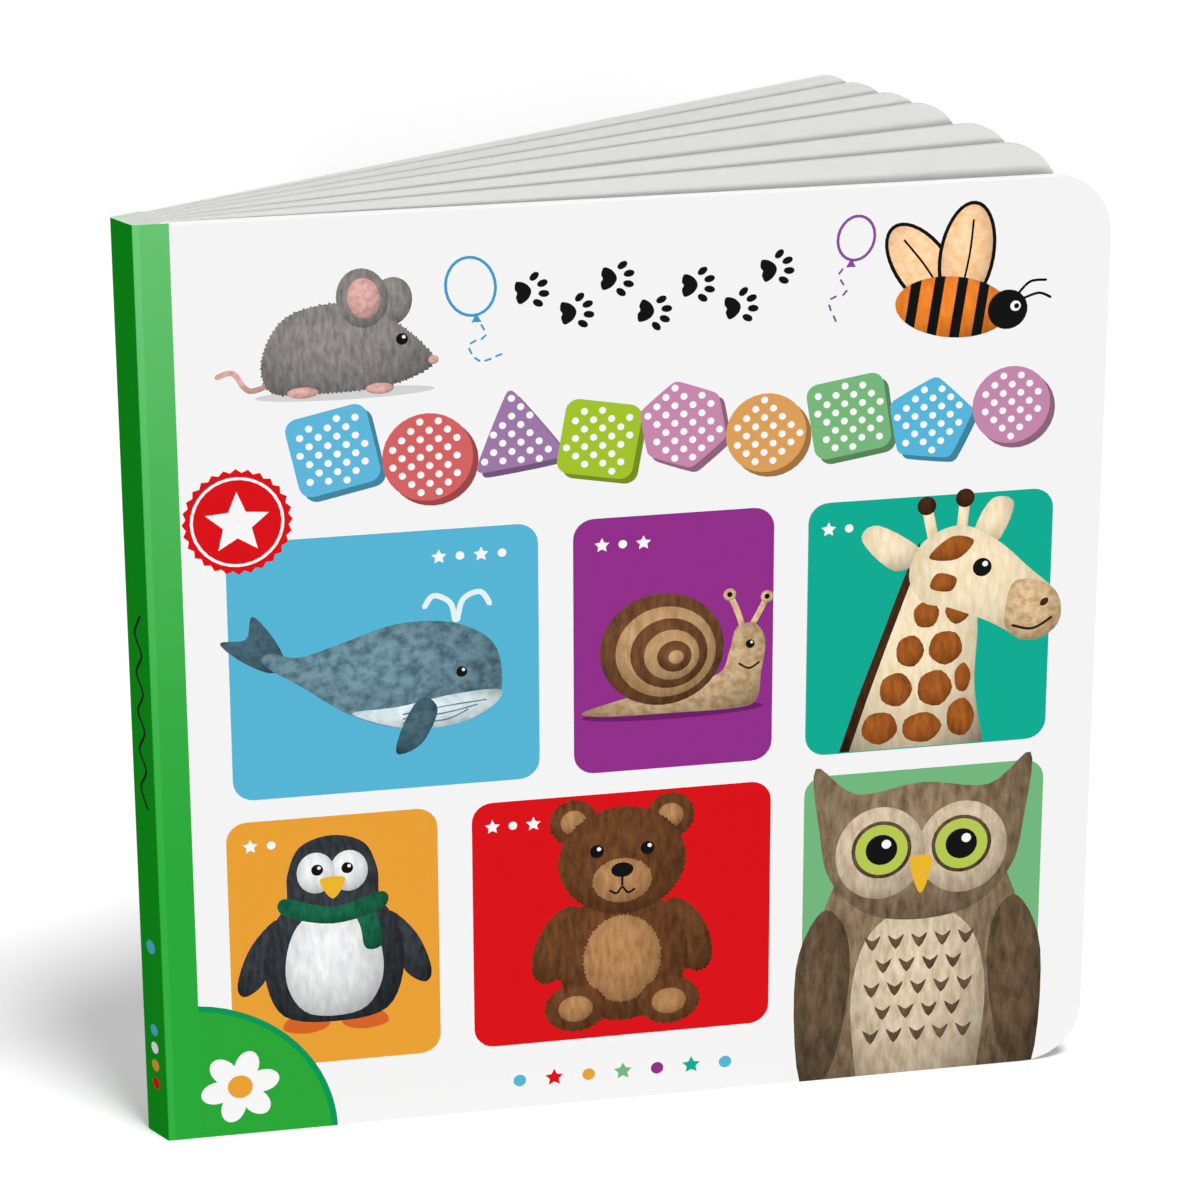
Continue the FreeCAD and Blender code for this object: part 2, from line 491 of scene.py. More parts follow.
def oval(x: float, y: float, across: float, up: float | None = None, turn: float = 0.0) -> Outline:
    """An ellipse.

    Args:
        x: its centre.
        y: its centre.
        across: half its width.
        up: half its height, or None for a circle.
        turn: degrees that it is turned to the left.

    Returns:
        The outline.
    """
    up = across if up is None else up
    count = 16 + 2 * round(max(across, up))
    angles = [math.tau * i / count for i in range(count)]
    return moved([(across * math.cos(a), up * math.sin(a)) for a in angles], x, y, turn)


def block(x: float, y: float, width: float, height: float, radius: float, turn: float = 0.0) -> Outline:
    """A rectangle with round corners.

    Args:
        x: its centre.
        y: its centre.
        width: its width.
        height: its height.
        radius: of its corners.
        turn: degrees that it is turned to the left.

    Returns:
        The outline.
    """
    a, b = width / 2 - radius, height / 2 - radius
    middles = ((a, b), (-a, b), (-a, -b), (a, -b))
    points = [p for i, middle in enumerate(middles) for p in arc(*middle, radius, 90 * i, 6)]
    return moved(points, x, y, turn)


def pointed(x: float, y: float, radius: float, points: int,
            inner: float = 1.0, turn: float = 90.0) -> Outline:
    """A star, or a regular polygon where inner is 1.

    Args:
        x: its centre.
        y: its centre.
        radius: centre to point.
        points: how many points it has.
        inner: share of the radius at which the notches lie.
        turn: degrees from the right at which the first point lies.

    Returns:
        The outline.
    """
    notches = inner < 1.0
    count = 2 * points if notches else points
    outline = []
    for i in range(count):
        reach = radius * (inner if notches and i % 2 else 1.0)
        angle = math.radians(turn) + math.tau * i / count
        outline.append((x + reach * math.cos(angle), y + reach * math.sin(angle)))
    return outline


def smooth(points: Sequence[Point], closed: bool = True, steps: int = 5) -> Outline:
    """A smooth curve through some points.

    Args:
        points: the points that it passes through.
        closed: whether it comes back to the first one.
        steps: how many pieces each stretch has.

    Returns:
        The points of the curve.
    """
    count = len(points)
    curve = []
    for i in range(count if closed else count - 1):
        near = [k % count if closed else min(max(k, 0), count - 1) for k in range(i - 1, i + 3)]
        a, b, c, d = (Vector(points[k]) for k in near)
        for step in range(steps):
            t = step / steps
            point = 0.5 * (2 * b + (c - a) * t + (2 * a - 5 * b + 4 * c - d) * t * t
                           + (3 * b - a - 3 * c + d) * t ** 3)
            curve.append((point.x, point.y))
    return curve if closed else [*curve, tuple(points[-1])]


def stroke(points: Sequence[Point], width: float) -> Outline:
    """A smooth line of even width with tapered ends.

    Args:
        points: the points that it passes through.
        width: its width.

    Returns:
        The outline.
    """
    path = [Vector(p) for p in smooth(points, closed=False)]
    half = width / 2
    left, right = [], []
    for i, point in enumerate(path):
        ahead = (path[min(i + 1, len(path) - 1)] - path[max(i - 1, 0)]).normalized()
        side = Vector((-ahead.y, ahead.x)) * half
        left.append(point + side)
        right.append(point - side)
    first = (path[1] - path[0]).normalized() * half
    last = (path[-1] - path[-2]).normalized() * half
    outline = [*right, path[-1] + last, *reversed(left), path[0] - first]
    return [(p.x, p.y) for p in outline]


def ruffled(outline: Sequence[Point], depth: float = 0.45, pitch: float = 0.8) -> Outline:
    """An outline with small uneven tufts, as the edge of fur or down has.

    Args:
        outline: the plain outline, drawn anticlockwise.
        depth: mm that the longest tufts stand out.
        pitch: mm from one tuft to the next.

    Returns:
        The outline with its tufts.
    """
    ring = [Vector(p) for p in anticlockwise(outline)]
    tufts = []
    for a, b in zip(ring, [*ring[1:], ring[0]]):
        out = Vector(((b - a).y, -(b - a).x)).normalized()
        count = max(1, round((b - a).length / pitch))
        for i in range(count):
            root = a.lerp(b, i / count)
            length = depth * (0.45 + 0.55 * math.sin(7.1 * len(tufts)) ** 2)  # uneven, never the same
            tip = a.lerp(b, (i + 0.75) / count) + out * length
            tufts += [(root.x, root.y), (tip.x, tip.y)]
    return tufts


def moved(outline: Sequence[Point], x: float, y: float,
          turn: float = 0.0, scale: float = 1.0) -> Outline:
    """An outline turned to the left about its own origin by some degrees, scaled, and then moved."""
    cos, sin = scale * math.cos(math.radians(turn)), scale * math.sin(math.radians(turn))
    return [(x + px * cos - py * sin, y + px * sin + py * cos) for px, py in outline]


def mirrored(outline: Sequence[Point]) -> Outline:
    """An outline with left and right swapped, still drawn anticlockwise."""
    return [(-x, y) for x, y in reversed(outline)]


@dataclass
class Drawing:
    """Fields of ink, each one printed over those before it."""

    layers: list[tuple[Ink, Outline]] = field(default_factory=list)

    def add(self, ink: Ink, *outlines: Outline) -> None:
        """Prints some outlines in one ink."""
        self.layers += [(ink, outline) for outline in outlines]

    def pair(self, ink: Ink, outline: Outline) -> None:
        """Prints an outline and its mirror image."""
        self.add(ink, outline, mirrored(outline))

    def place(self, other: "Drawing", x: float, y: float, turn: float = 0.0, scale: float = 1.0) -> None:
        """Prints another drawing with its origin at a point."""
        self.layers += [(ink, moved(outline, x, y, turn, scale)) for ink, outline in other.layers]


def eye(drawing: Drawing, x: float, y: float, radius: float) -> None:
    """A round black eye with a small glint."""
    drawing.add(BLACK, oval(x, y, radius))
    drawing.add(DOT_WHITE, oval(x + 0.3 * radius, y + 0.35 * radius, 0.3 * radius))


def whale() -> Drawing:
    """A whale that swims to the right, about 58 mm long.

    Returns:
        The drawing.
    """
    d = Drawing()
    d.add(SLATE_DARK, smooth([
        (-22, 5), (-24, 10.5), (-28.5, 16), (-30, 11), (-35.5, 10.5), (-31, 6), (-25, 3),
    ]))
    d.add(SLATE, smooth([
        (24.5, -2), (22.5, 6.5), (14, 11.5), (2, 12), (-10, 8.5), (-19, 6), (-25, 7.5), (-26.5, 5),
        (-18, -1), (-8, -8), (4, -12), (15, -11.5), (22.5, -8),
    ]))
    d.add(PALE_BELLY, smooth([
        (24, -4.5), (14, -4.8), (2, -6.8), (-8, -7.6), (4, -12), (15, -11.5), (22.3, -8.2),
    ]))
    for pleat in range(3):
        low = 1.55 * pleat
        fold = [(21 - 2 * pleat, -6.6 - low / 1.6), (12, -7.4 - low), (3, -8.6 - low / 1.5)]
        d.add(SLATE, stroke(fold, 0.3))
    d.add(SLATE_DARK, smooth([(7, -5), (10.5, -8), (7, -15.5), (1.5, -17.5), (3, -11)]))
    eye(d, 15.8, 0.2, 1.2)
    d.add(SPRAY, stroke([(14.5, 12), (13.5, 16), (10, 17.8), (8, 15.4)], 1.2),
          stroke([(15, 12), (16.3, 16.6), (20, 18), (22, 15.2)], 1.2))
    return d


def snail() -> Drawing:
    """A snail with a banded shell, about 40 mm long.

    Returns:
        The drawing.
    """
    d = Drawing()
    d.add(PLUM_SHADE, oval(0, -14, 20, 1.6))
    for tip in ((12.4, 12), (20.6, 11)):
        d.add(SNAIL_SKIN, stroke([(15.8, 2), ((15.8 + tip[0]) / 2 + 0.4, 7), tip], 1.3), oval(*tip, 1.4))
        d.add(BLACK, oval(*tip, 0.6))
    d.add(SNAIL_SKIN, smooth([
        (-20, -12.8), (-14, -14), (0, -14.2), (14, -14.2), (18.5, -12.5), (19.5, -6), (20.3, 1), (18, 5),
        (14, 4.4), (12.4, -1), (10, -6), (0, -8), (-10, -10),
    ]))
    eye(d, 17, 0.4, 1.0)
    d.add(DARK_COAT, stroke([(14.6, -4), (16.8, -5.2), (19, -4)], 0.5))
    rings = ((-2.4, 0.6, 13.6), (-1.6, 0, 11), (-0.9, -0.4, 8.5),
             (-0.3, -0.8, 6.1), (0.3, -1.2, 3.8), (0.7, -1.4, 1.7))
    for i, (x, y, size) in enumerate(rings):
        d.add(SHELL_PALE if i % 2 else SHELL, oval(x, y, size, 0.94 * size))
    return d


def giraffe() -> Drawing:
    """The head and neck of a giraffe, cut off at the foot of its field.

    Returns:
        The drawing.
    """
    d = Drawing()
    mane = smooth([(-9.2, -13), (-5.2, -2), (-1.6, 8), (1.2, 15)], False)
    d.add(DARK_COAT, [(-12.4, -23), *mane, (3, 8), (-4, -23)][::-1])
    d.add(CREAM_COAT, smooth([(2, 13), (-6, 18.5), (-9, 16), (-3, 10)]),
          smooth([(11, 16), (14, 22), (18, 21), (15, 14)]))
    for foot, tip in (((4, 14), (2.4, 21.5)), ((8.6, 15), (9.2, 22.5))):
        d.add(CREAM_COAT, stroke([foot, tip], 1.9))
        d.add(DARK_COAT, oval(*tip, 1.7))
    nape = smooth([(-7.4, -13), (-3.6, -2), (0, 8), (1, 10)], False)
    throat = smooth([(10, 8), (12, 0), (11.8, -12), (13.6, -23)], False)
    d.add(CREAM_COAT, [(-10.6, -23), *nape, *throat][::-1])
    patches = ((-5.2, -19, 3.1, 2.9), (2.4, -19.4, 3.4, 2.7), (9.4, -18, 2.4, 3.4), (-2.4, -12, 2.8, 3),
               (4.6, -12.2, 3, 3.2), (9.6, -10.6, 1.4, 2.6), (0, -5, 2.4, 2.8), (6.4, -4.8, 2.9, 3),
               (2.8, 1.6, 2.2, 2.4), (8.4, 2.2, 2.1, 2.6))
    for x, y, across, up in patches:
        ring = pointed(0, 0, 1.08, 5, turn=31 * x)
        d.add(RUST_COAT, smooth([(x + across * px, y + up * py) for px, py in ring], steps=3))
    d.add(CREAM_COAT, smooth([
        (-0.5, 9), (2, 15), (8.5, 17.6), (15, 14.5), (21, 9), (26.5, 3.5), (26.5, -2), (21.5, -4.5),
        (14, -0.5), (7, 2.5), (2, 4),
    ]))
    d.add(RUST_COAT, smooth([(3, 12), (7, 15.6), (11, 14.6), (8, 11.4)]),
          smooth([(3.4, 6.4), (7, 5.6), (8, 8), (4.6, 9)]))
    d.add(SNAIL_SKIN, smooth([
        (18.5, 6.5), (23, 6.4), (26.5, 3.5), (26.5, -2), (21.5, -4.5), (17.4, -2.4), (17, 2),
    ]))
    d.add(DARK_COAT, oval(24, 2.4, 0.9, 0.6, 40), stroke([(18.4, -1.6), (22, -2.4), (25.4, -0.6)], 0.5))
    eye(d, 12.6, 9.6, 1.7)
    return d


def penguin() -> Drawing:
    """A penguin in a scarf, facing out, about 42 mm tall.

    Returns:
        The drawing.
    """
    d = Drawing()
    d.pair(FOOT, smooth([(2, -18.4), (8.6, -18.2), (10.6, -21), (6, -22.2), (1.6, -21)]))
    d.pair(NIGHT_DOWN, smooth([(11, 3), (16.5, -2), (19.5, -10), (18, -13), (13.5, -9)]))
    d.add(NIGHT_DOWN, smooth([
        (0, 20.5), (6.4, 18.4), (9, 12.5), (9.4, 6.5), (13, 0), (14, -9), (10.4, -18), (0, -20),
        (-10.4, -18), (-14, -9), (-13, 0), (-9.4, 6.5), (-9, 12.5), (-6.4, 18.4),
    ]))
    d.add(WHITE_DOWN, smooth([
        (0, 5), (6.4, 2.4), (9.4, -4), (9.4, -12), (5, -18), (-5, -18), (-9.4, -12), (-9.4, -4), (-6.4, 2.4),
    ]))
    d.pair(WHITE_DOWN, oval(3.3, 12.6, 3.8, 4.4))
    for x in (-3, 3):
        eye(d, x, 13.2, 1.2)
    d.add(BEAK, smooth([(-2.6, 10.8), (0, 11.6), (2.6, 10.8), (0, 6.8)]))
    d.add(SCARF, smooth([(4, 5), (8, 4), (9.8, -3.6), (6.4, -4.6), (5.4, 0)]),
          smooth([(-9.8, 7.6), (0, 5), (9.8, 7.6), (10, 4), (0, 1.4), (-10, 4)]))
    return d


def bear() -> Drawing:
    """A sitting bear, facing out, about 42 mm tall.

    Returns:
        The drawing.
    """
    d = Drawing()
    d.pair(BEAR_COAT, ruffled(oval(11.4, -6, 3.8, 7.6, 24)))
    d.add(BEAR_COAT, ruffled(oval(0, -9, 11.6, 12.4)))
    d.add(BEAR_PALE, ruffled(oval(0, -9.6, 6.8, 8.2)))
    d.pair(BEAR_COAT, ruffled(oval(8.4, -18.4, 5.4, 4.4)))
    d.pair(BEAR_PALE, oval(8.4, -18.6, 3.1, 2.5))
    d.pair(BEAR_COAT, ruffled(oval(8.6, 17, 4.1)))
    d.pair(BEAR_PALE, oval(8.6, 17, 2.3))
    d.add(BEAR_COAT, ruffled(oval(0, 9.2, 11.2, 10)))
    d.add(BEAR_PALE, ruffled(oval(0, 5.4, 5.2, 4.1), 0.3))
    d.add(BLACK, oval(0, 7.4, 2.0, 1.4), stroke([(0, 6.6), (0, 4.4), (0, 4.2)], 0.4),
          stroke([(-2.2, 3.6), (-1, 3), (0, 4.1), (1, 3), (2.2, 3.6)], 0.4))
    for x in (-4.5, 4.5):
        eye(d, x, 11.2, 1.25)
    return d


def owl(foot: float) -> Drawing:
    """A large owl, cut off at the foot of the cover.

    Args:
        foot: how far below its origin the cover ends.

    Returns:
        The drawing.
    """
    d = Drawing()
    flank = smooth([(-20, -foot), (-21.5, -20), (-18, -6), (-14, 4)], False)
    d.add(OWL_COAT, [*flank, *mirrored(flank)][::-1])
    d.add(OWL_PALE, smooth([
        (-11, -foot), (-12.4, -22), (-9, -10), (0, -5), (9, -10), (12.4, -22), (11, -foot),
    ], False)[::-1])
    for row in range(5):
        for column in range(-2, 3):
            x, y = 4.3 * column + (2.1 if row % 2 else 0), -12 - 4.6 * row
            fleck = [(x - 1.5, y + 1.3), (x, y + 0.4), (x + 1.5, y + 1.3), (x, y - 1.5)]
            if abs(x) < 9.5:
                d.add(OWL_WING, smooth(fleck, steps=3))
    d.pair(OWL_WING, smooth([
        (18, -5), (22.6, -16), (21.6, -foot + 2), (16, -foot + 4), (12.8, -20), (13.6, -9),
    ]))
    d.add(OWL_COAT, smooth([
        (-19.5, 22.5), (-12, 17), (0, 18.4), (12, 17), (19.5, 22.5), (18.6, 10), (16.6, 1), (10, -6),
        (0, -8), (-10, -6), (-16.6, 1), (-18.6, 10),
    ]))
    d.pair(OWL_PALE, oval(7.5, 5.4, 8.2, 8.8))
    for x in (-7.3, 7.3):
        d.add(OWL_WING, oval(x, 6, 5.5))
        d.add(OWL_EYE, oval(x, 6, 4.8))
        eye(d, x, 6, 2.9)
    d.add(BEAK, smooth([(-2.1, 3.4), (0, 4.4), (2.1, 3.4), (0, -3)]))
    return d


def mouse() -> Drawing:
    """A small mouse that looks to the right, about 38 mm long with its tail.

    Returns:
        The drawing.
    """
    d = Drawing()
    d.add(SHADE, oval(2, -9.2, 17, 1.2))
    d.add(MOUSE_PINK, stroke([(-11, -6), (-16, -7.6), (-19, -4), (-22, -4.6)], 1.1))
    d.add(MOUSE_COAT, oval(11, 8.2, 4, 4.8, -15))
    d.add(MOUSE_COAT, ruffled(smooth([
        (-12, -8), (-13.4, -1.5), (-9, 6), (0, 8.4), (7, 7), (12.5, 3.6), (17, -0.6), (19, -4), (15, -6.6),
        (8, -8.4), (-4, -8.8),
    ])))
    d.add(MOUSE_COAT, oval(5.6, 9.2, 4.9, 5.8, 10))
    d.add(MOUSE_PINK, oval(5.9, 9.1, 3.1, 4, 10), oval(18.9, -3.6, 1, 0.9), oval(-6, -8.6, 3, 1.1),
          oval(8.6, -8.6, 2.7, 1.1))
    eye(d, 13, 0.8, 1.15)
    return d


def bee() -> Drawing:
    """A bee that flies to the right, about 28 mm long.

    Returns:
        The drawing.
    """
    d = Drawing()
    for x, y, across, up, turn in ((-5, 8.5, 4.6, 9.4, 30), (3.5, 9.5, 4.8, 9.6, -14)):
        d.add(BLACK, oval(x, y, across + 0.6, up + 0.6, turn))
        d.add(WING_GLASS, oval(x, y, across - 0.1, up - 0.1, turn))
        d.add(BLACK, stroke(moved([(0, -up + 1), (0.5, 0), (0.2, up - 3)], x, y, turn), 0.4))
    body = Drawing()
    long, high = 11, 5.8
    body.add(HONEY, oval(0, 0, long, high))
    for middle in (-7.6, -3.2, 1.2, 5.4):
        edge = [(u, high * math.sqrt(1 - (u / long) ** 2)) for u in (middle - 0.95, middle, middle + 0.95)]
        body.add(BLACK, [*[(u, -v) for u, v in edge], *reversed(edge)])
    body.add(BLACK, oval(10.6, 0.4, 3.8), stroke([(12, 3.4), (14, 6), (17, 6.6)], 0.5),
             stroke([(13, 2.6), (16, 4), (18.4, 3.4)], 0.5))
    body.add(DOT_WHITE, oval(12, 1.2, 1.0))
    body.add(BLACK, oval(12.2, 1.2, 0.5))
    d.place(body, 0, 0, -14)
    return d


@dataclass(frozen=True)
class Face:
    """One large upright face of a board.

    Attributes:
        normal: outward from the board.
        distance: from the origin to the face's plane, in metres.
        reach: from the origin's foot on the plane to the fore edge, in metres.
    """

    normal: Vector
    distance: float
    reach: float

    @property
    def along(self) -> Vector:
        """Level along the face, towards the fore edge."""
        return Vector((abs(self.normal.y), -math.copysign(self.normal.x, self.normal.x * self.normal.y), 0))


def board_faces(node: str) -> list[Face]:
    """The large upright faces of a CAD node.

    Args:
        node: the node's name.

    Returns:
        The faces, in order of the direction that they look in.
    """
    least_area = 0.01  # square metres, a third of a board's face
    upright = 0.1  # how far a normal may point up or down
    mesh = frame["nodes"][node].data
    groups: dict[tuple, list[bpy.types.MeshPolygon]] = {}
    for polygon in mesh.polygons:
        normal = polygon.normal
        if abs(normal.z) <= upright:
            key = (round(normal.x, 2), round(normal.y, 2), round(normal.dot(polygon.center), 4))
            groups.setdefault(key, []).append(polygon)
    faces = []
    for group in groups.values():
        if sum(polygon.area for polygon in group) > least_area:
            normal = group[0].normal.copy()
            distance = normal.dot(group[0].center)
            along = Face(normal, distance, 0).along
            reach = max(mesh.vertices[i].co.dot(along) for polygon in group for i in polygon.vertices)
            faces.append(Face(normal, distance, reach))
    return sorted(faces, key=lambda face: math.atan2(face.normal.y, face.normal.x))


@dataclass(frozen=True)
class Fold:
    """One fold of the wrap, between the spine panel and a cover, as it lies at rest.

    Attributes:
        cover: the cover's node and body.
        axis: the fold line, seen from above, in metres.
        face: the outer face of the cover.
    """

    cover: str
    axis: Vector
    face: Face

    SPINE_NORMAL = Vector((-1, 0, 0))

    @classmethod
    def of(cls, cover: str) -> "Fold":
        """Reads a cover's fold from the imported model.

        Args:
            cover: the cover's node and body.

        Returns:
            The fold.
        """
        joint = next(j for j in frame["joints"] if j["child"] == cover)
        axis = Vector(joint["pos_m"])
        return cls(cover, axis, max(board_faces(cover), key=lambda face: face.normal.y * axis.y))

    @property
    def board(self) -> float:
        """Half the thickness of the cover board, in metres."""
        return self.face.distance - self.face.normal.dot(self.axis)

    @property
    def bend(self) -> float:
        """The signed angle from the spine panel's normal to the cover's."""
        normal = self.face.normal
        return math.atan2(self.SPINE_NORMAL.cross(normal).z, self.SPINE_NORMAL.dot(normal))

    @property
    def length(self) -> float:
        """Length of the sheet round the fold, in mm."""
        return abs(self.bend) * (self.board / MM + SHEET)

    @property
    def spine_half(self) -> float:
        """From the fold to the middle of the spine, in mm."""
        return abs(self.axis.y) / MM

    @property
    def width(self) -> float:
        """From the fold to the fore edge, in mm."""
        return (self.face.reach - self.axis.dot(self.face.along)) / MM

    def point(self, across: float, up: float, lift: float) -> Vector:
        """Where a point of the flat sheet lies on the folded wrap.

        Args:
            across: mm from where the sheet leaves the spine panel, less than 0 on the spine.
            up: mm above the foot.
            lift: mm above the board.

        Returns:
            The point in the scene, in metres.
        """
        foot = self.axis + Vector((0, 0, up * MM))
        reach = self.board + lift * MM
        if across <= 0:
            return foot + self.SPINE_NORMAL * reach + Vector((0, math.copysign(MM, self.axis.y) * across, 0))
        if across < self.length:
            turned = Matrix.Rotation(self.bend * across / self.length, 3, "Z") @ self.SPINE_NORMAL
            return foot + turned * reach
        return foot + self.face.normal * reach + self.face.along * (across - self.length) * MM


def finish_mesh(mesh: bpy.types.Mesh, name: str, body: str) -> None:
    """Puts a mesh into the scene as a piece that rides on a body.

    Args:
        mesh: the piece's mesh, in place.
        name: the piece's name.
        body: the body that it moves with.
    """
    piece = add_object(name, mesh)
    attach(piece, body)
    LOG.info("%s: %d faces on %s", name, len(mesh.polygons), body)


def flat_mesh(name: str, outlines: Sequence[Outline]) -> bpy.types.Mesh:
    """Makes flat faces that look up.

    Args:
        name: the mesh's name.
        outlines: the faces' outlines, in mm.

    Returns:
        The mesh.
    """
    mesh = bpy.data.meshes.new(name)
    points, faces = [], []
    for ring in map(anticlockwise, outlines):
        faces.append(range(len(points), len(points) + len(ring)))
        points += [(x * MM, y * MM, 0) for x, y in ring]
    mesh.from_pydata(points, [], faces)
    return mesh


@dataclass
class PrintedSheet:
    """A thin closed sheet whose face is divided into fields of ink."""

    outline: Outline
    ground: Ink
    drawing: Drawing
    cuts: Sequence[float] = ()  # where it can bend

    def mesh(self, name: str, place: Callable[[float, float, float], Vector]) -> bpy.types.Mesh:
        """Builds the sheet on what carries it.

        Args:
            name: the mesh's name.
            place: gives the place of a point from its two flat coordinates and its lift.

        Returns:
            The mesh.
        """
        points, triangles, layers = self._divide()
        inks = [self.drawing.layers[i - 1][0] if i else self.ground for i in layers]
        slots = list(dict.fromkeys([self.ground, *inks]))
        bm = bmesh.new()
        flat, form = bm.loops.layers.uv.new("sheet"), bm.loops.layers.uv.new("form")
        frames = [None, *(extent(outline) for _, outline in self.drawing.layers)]
        top, bottom = ([bm.verts.new(place(x, y, lift)) for x, y in points] for lift in (SHEET, 0.0))
        where = dict(zip([*top, *bottom], [*points, *points]))
        rim: dict[tuple[int, int], Ink] = {}
        for (a, b, c), ink, layer in zip(triangles, inks, layers):
            face = bm.faces.new((top[a], top[b], top[c]))
            face.material_index = slots.index(ink)
            for loop in face.loops if layer else ():
                loop[form].uv = self._form(where[loop.vert], *frames[layer])
            bm.faces.new((bottom[c], bottom[b], bottom[a])).material_index = slots.index(self.ground)
            for edge in ((a, b), (b, c), (c, a)):
                if not rim.pop(edge[::-1], None):
                    rim[edge] = ink
        for (a, b), ink in rim.items():
            bm.faces.new((bottom[a], bottom[b], top[b], top[a])).material_index = slots.index(ink)
        for face in bm.faces:
            for loop in face.loops:
                loop[flat].uv = Vector(where[loop.vert]) * MM
        bmesh.ops.recalc_face_normals(bm, faces=bm.faces)
        mesh = bpy.data.meshes.new(name)
        bm.to_mesh(mesh)
        bm.free()
        for ink in slots:
            mesh.materials.append(ink.material())
        return mesh

    @staticmethod
    def _form(point: Point, left: float, right: float, low: float, high: float) -> Point:
        """A point's place in its figure, from -1 to 1 each way."""
        return 2 * (point[0] - left) / (right - left) - 1, 2 * (point[1] - low) / (high - low) - 1

    def _divide(self) -> tuple[list[Point], list[tuple[int, ...]], list[int]]:
        """Divides the sheet into triangles.

        Returns:
            The points, the triangles, and the number of the layer printed last over each one.
        """
        points: list[Vector] = []
        faces = []
        for ring in map(anticlockwise, (self.outline, *(outline for _, outline in self.drawing.layers))):
            faces.append(list(range(len(points), len(points) + len(ring))))
            points += [Vector(p) for p in ring]
        _, _, low, high = extent(self.outline)
        edges = []
        for cut in self.cuts:
            edges.append((len(points), len(points) + 1))
            points += [Vector((cut, low)), Vector((cut, high))]
        found, _, triangles, _, _, origins = delaunay_2d_cdt(points, edges, faces, 1, 1e-5)
        kept = [(triangle, max(covers)) for triangle, covers in zip(triangles, origins) if 0 in covers]
        used = sorted({i for triangle, _ in kept for i in triangle})
        index = {old: new for new, old in enumerate(used)}
        numbered = [tuple(index[i] for i in triangle) for triangle, _ in kept]
        return [tuple(found[i]) for i in used], numbered, [layer for _, layer in kept]


@dataclass
class Recipe(Nodes):
    """A Geometry Nodes tree with named inputs, which is run once to make a plain mesh."""

    name: str
    sizes: dict[str, object]  # its inputs, with Thickness and Material among them

    KINDS = {float: "Float", bpy.types.Material: "Material", bpy.types.Object: "Object"}

    def __post_init__(self) -> None:
        """Makes the tree, with an input for each size."""
        self.tree = bpy.data.node_groups.new(f"{self.name}_recipe", "GeometryNodeTree")
        sockets = self.tree.interface
        sockets.new_socket("Geometry", in_out="INPUT", socket_type="NodeSocketGeometry")
        for name, value in self.sizes.items():
            sockets.new_socket(name, in_out="INPUT", socket_type=f"NodeSocket{self.KINDS[type(value)]}")
        sockets.new_socket("Geometry", in_out="OUTPUT", socket_type="NodeSocketGeometry")
        self.given = self.add("NodeGroupInput")

    def join(self, *parts: Socket) -> Socket:
        """Joins some geometries.

        Args:
            *parts: the geometries.

        Returns:
            All of them as one.
        """
        joined = self.add("GeometryNodeJoinGeometry")["Geometry"]
        for part in parts:
            self.tree.links.new(part, joined.node.inputs["Geometry"])
        return joined

    def repeat(self, places: Socket, flat: Socket, **inputs: Socket) -> Socket:
        """Makes flat faces into closed sheets and repeats them at some points.

        Args:
            places: the points.
            flat: geometry whose faces look up.
            **inputs: further inputs of the node that repeats them.

        Returns:
            The repeated sheets.
        """
        raised = self.add("GeometryNodeExtrudeMesh", {
            "Mesh": flat, "Offset Scale": self.given["Thickness"], "Individual": False,
        })["Mesh"]
        closed = self.join(raised, self.add("GeometryNodeFlipFaces", {"Mesh": flat})["Mesh"])
        closed = self.add("GeometryNodeMergeByDistance", {"Geometry": closed, "Distance": WELD})["Geometry"]
        return self.add("GeometryNodeInstanceOnPoints", {
            "Points": places, "Instance": closed, **inputs,
        })["Instances"]

    def run(self, result: Socket, source: bpy.types.Mesh) -> bpy.types.Mesh:
        """Runs the tree.

        Args:
            result: what the tree makes, with instances.
            source: the mesh that it starts from.

        Returns:
            A plain mesh with the tree's material.
        """
        whole = self.add("GeometryNodeRealizeInstances", {"Geometry": result})["Geometry"]
        dressed = self.add("GeometryNodeSetMaterial", {
            "Geometry": whole, "Material": self.given["Material"],
        })["Geometry"]
        self.add("NodeGroupOutput", {"Geometry": dressed})
        carrier = add_object(self.tree.name, source)
        modifier = carrier.modifiers.new(self.tree.name, "NODES")
        modifier.node_group = self.tree
        for socket in self.tree.interface.items_tree:
            if socket.name in self.sizes:
                modifier[socket.identifier] = self.sizes[socket.name]
        evaluated = carrier.evaluated_get(bpy.context.evaluated_depsgraph_get())
        mesh = bpy.data.meshes.new_from_object(evaluated)
        mesh.name = self.name
        carrier.modifiers.remove(modifier)
        bpy.data.objects.remove(carrier)
        return mesh


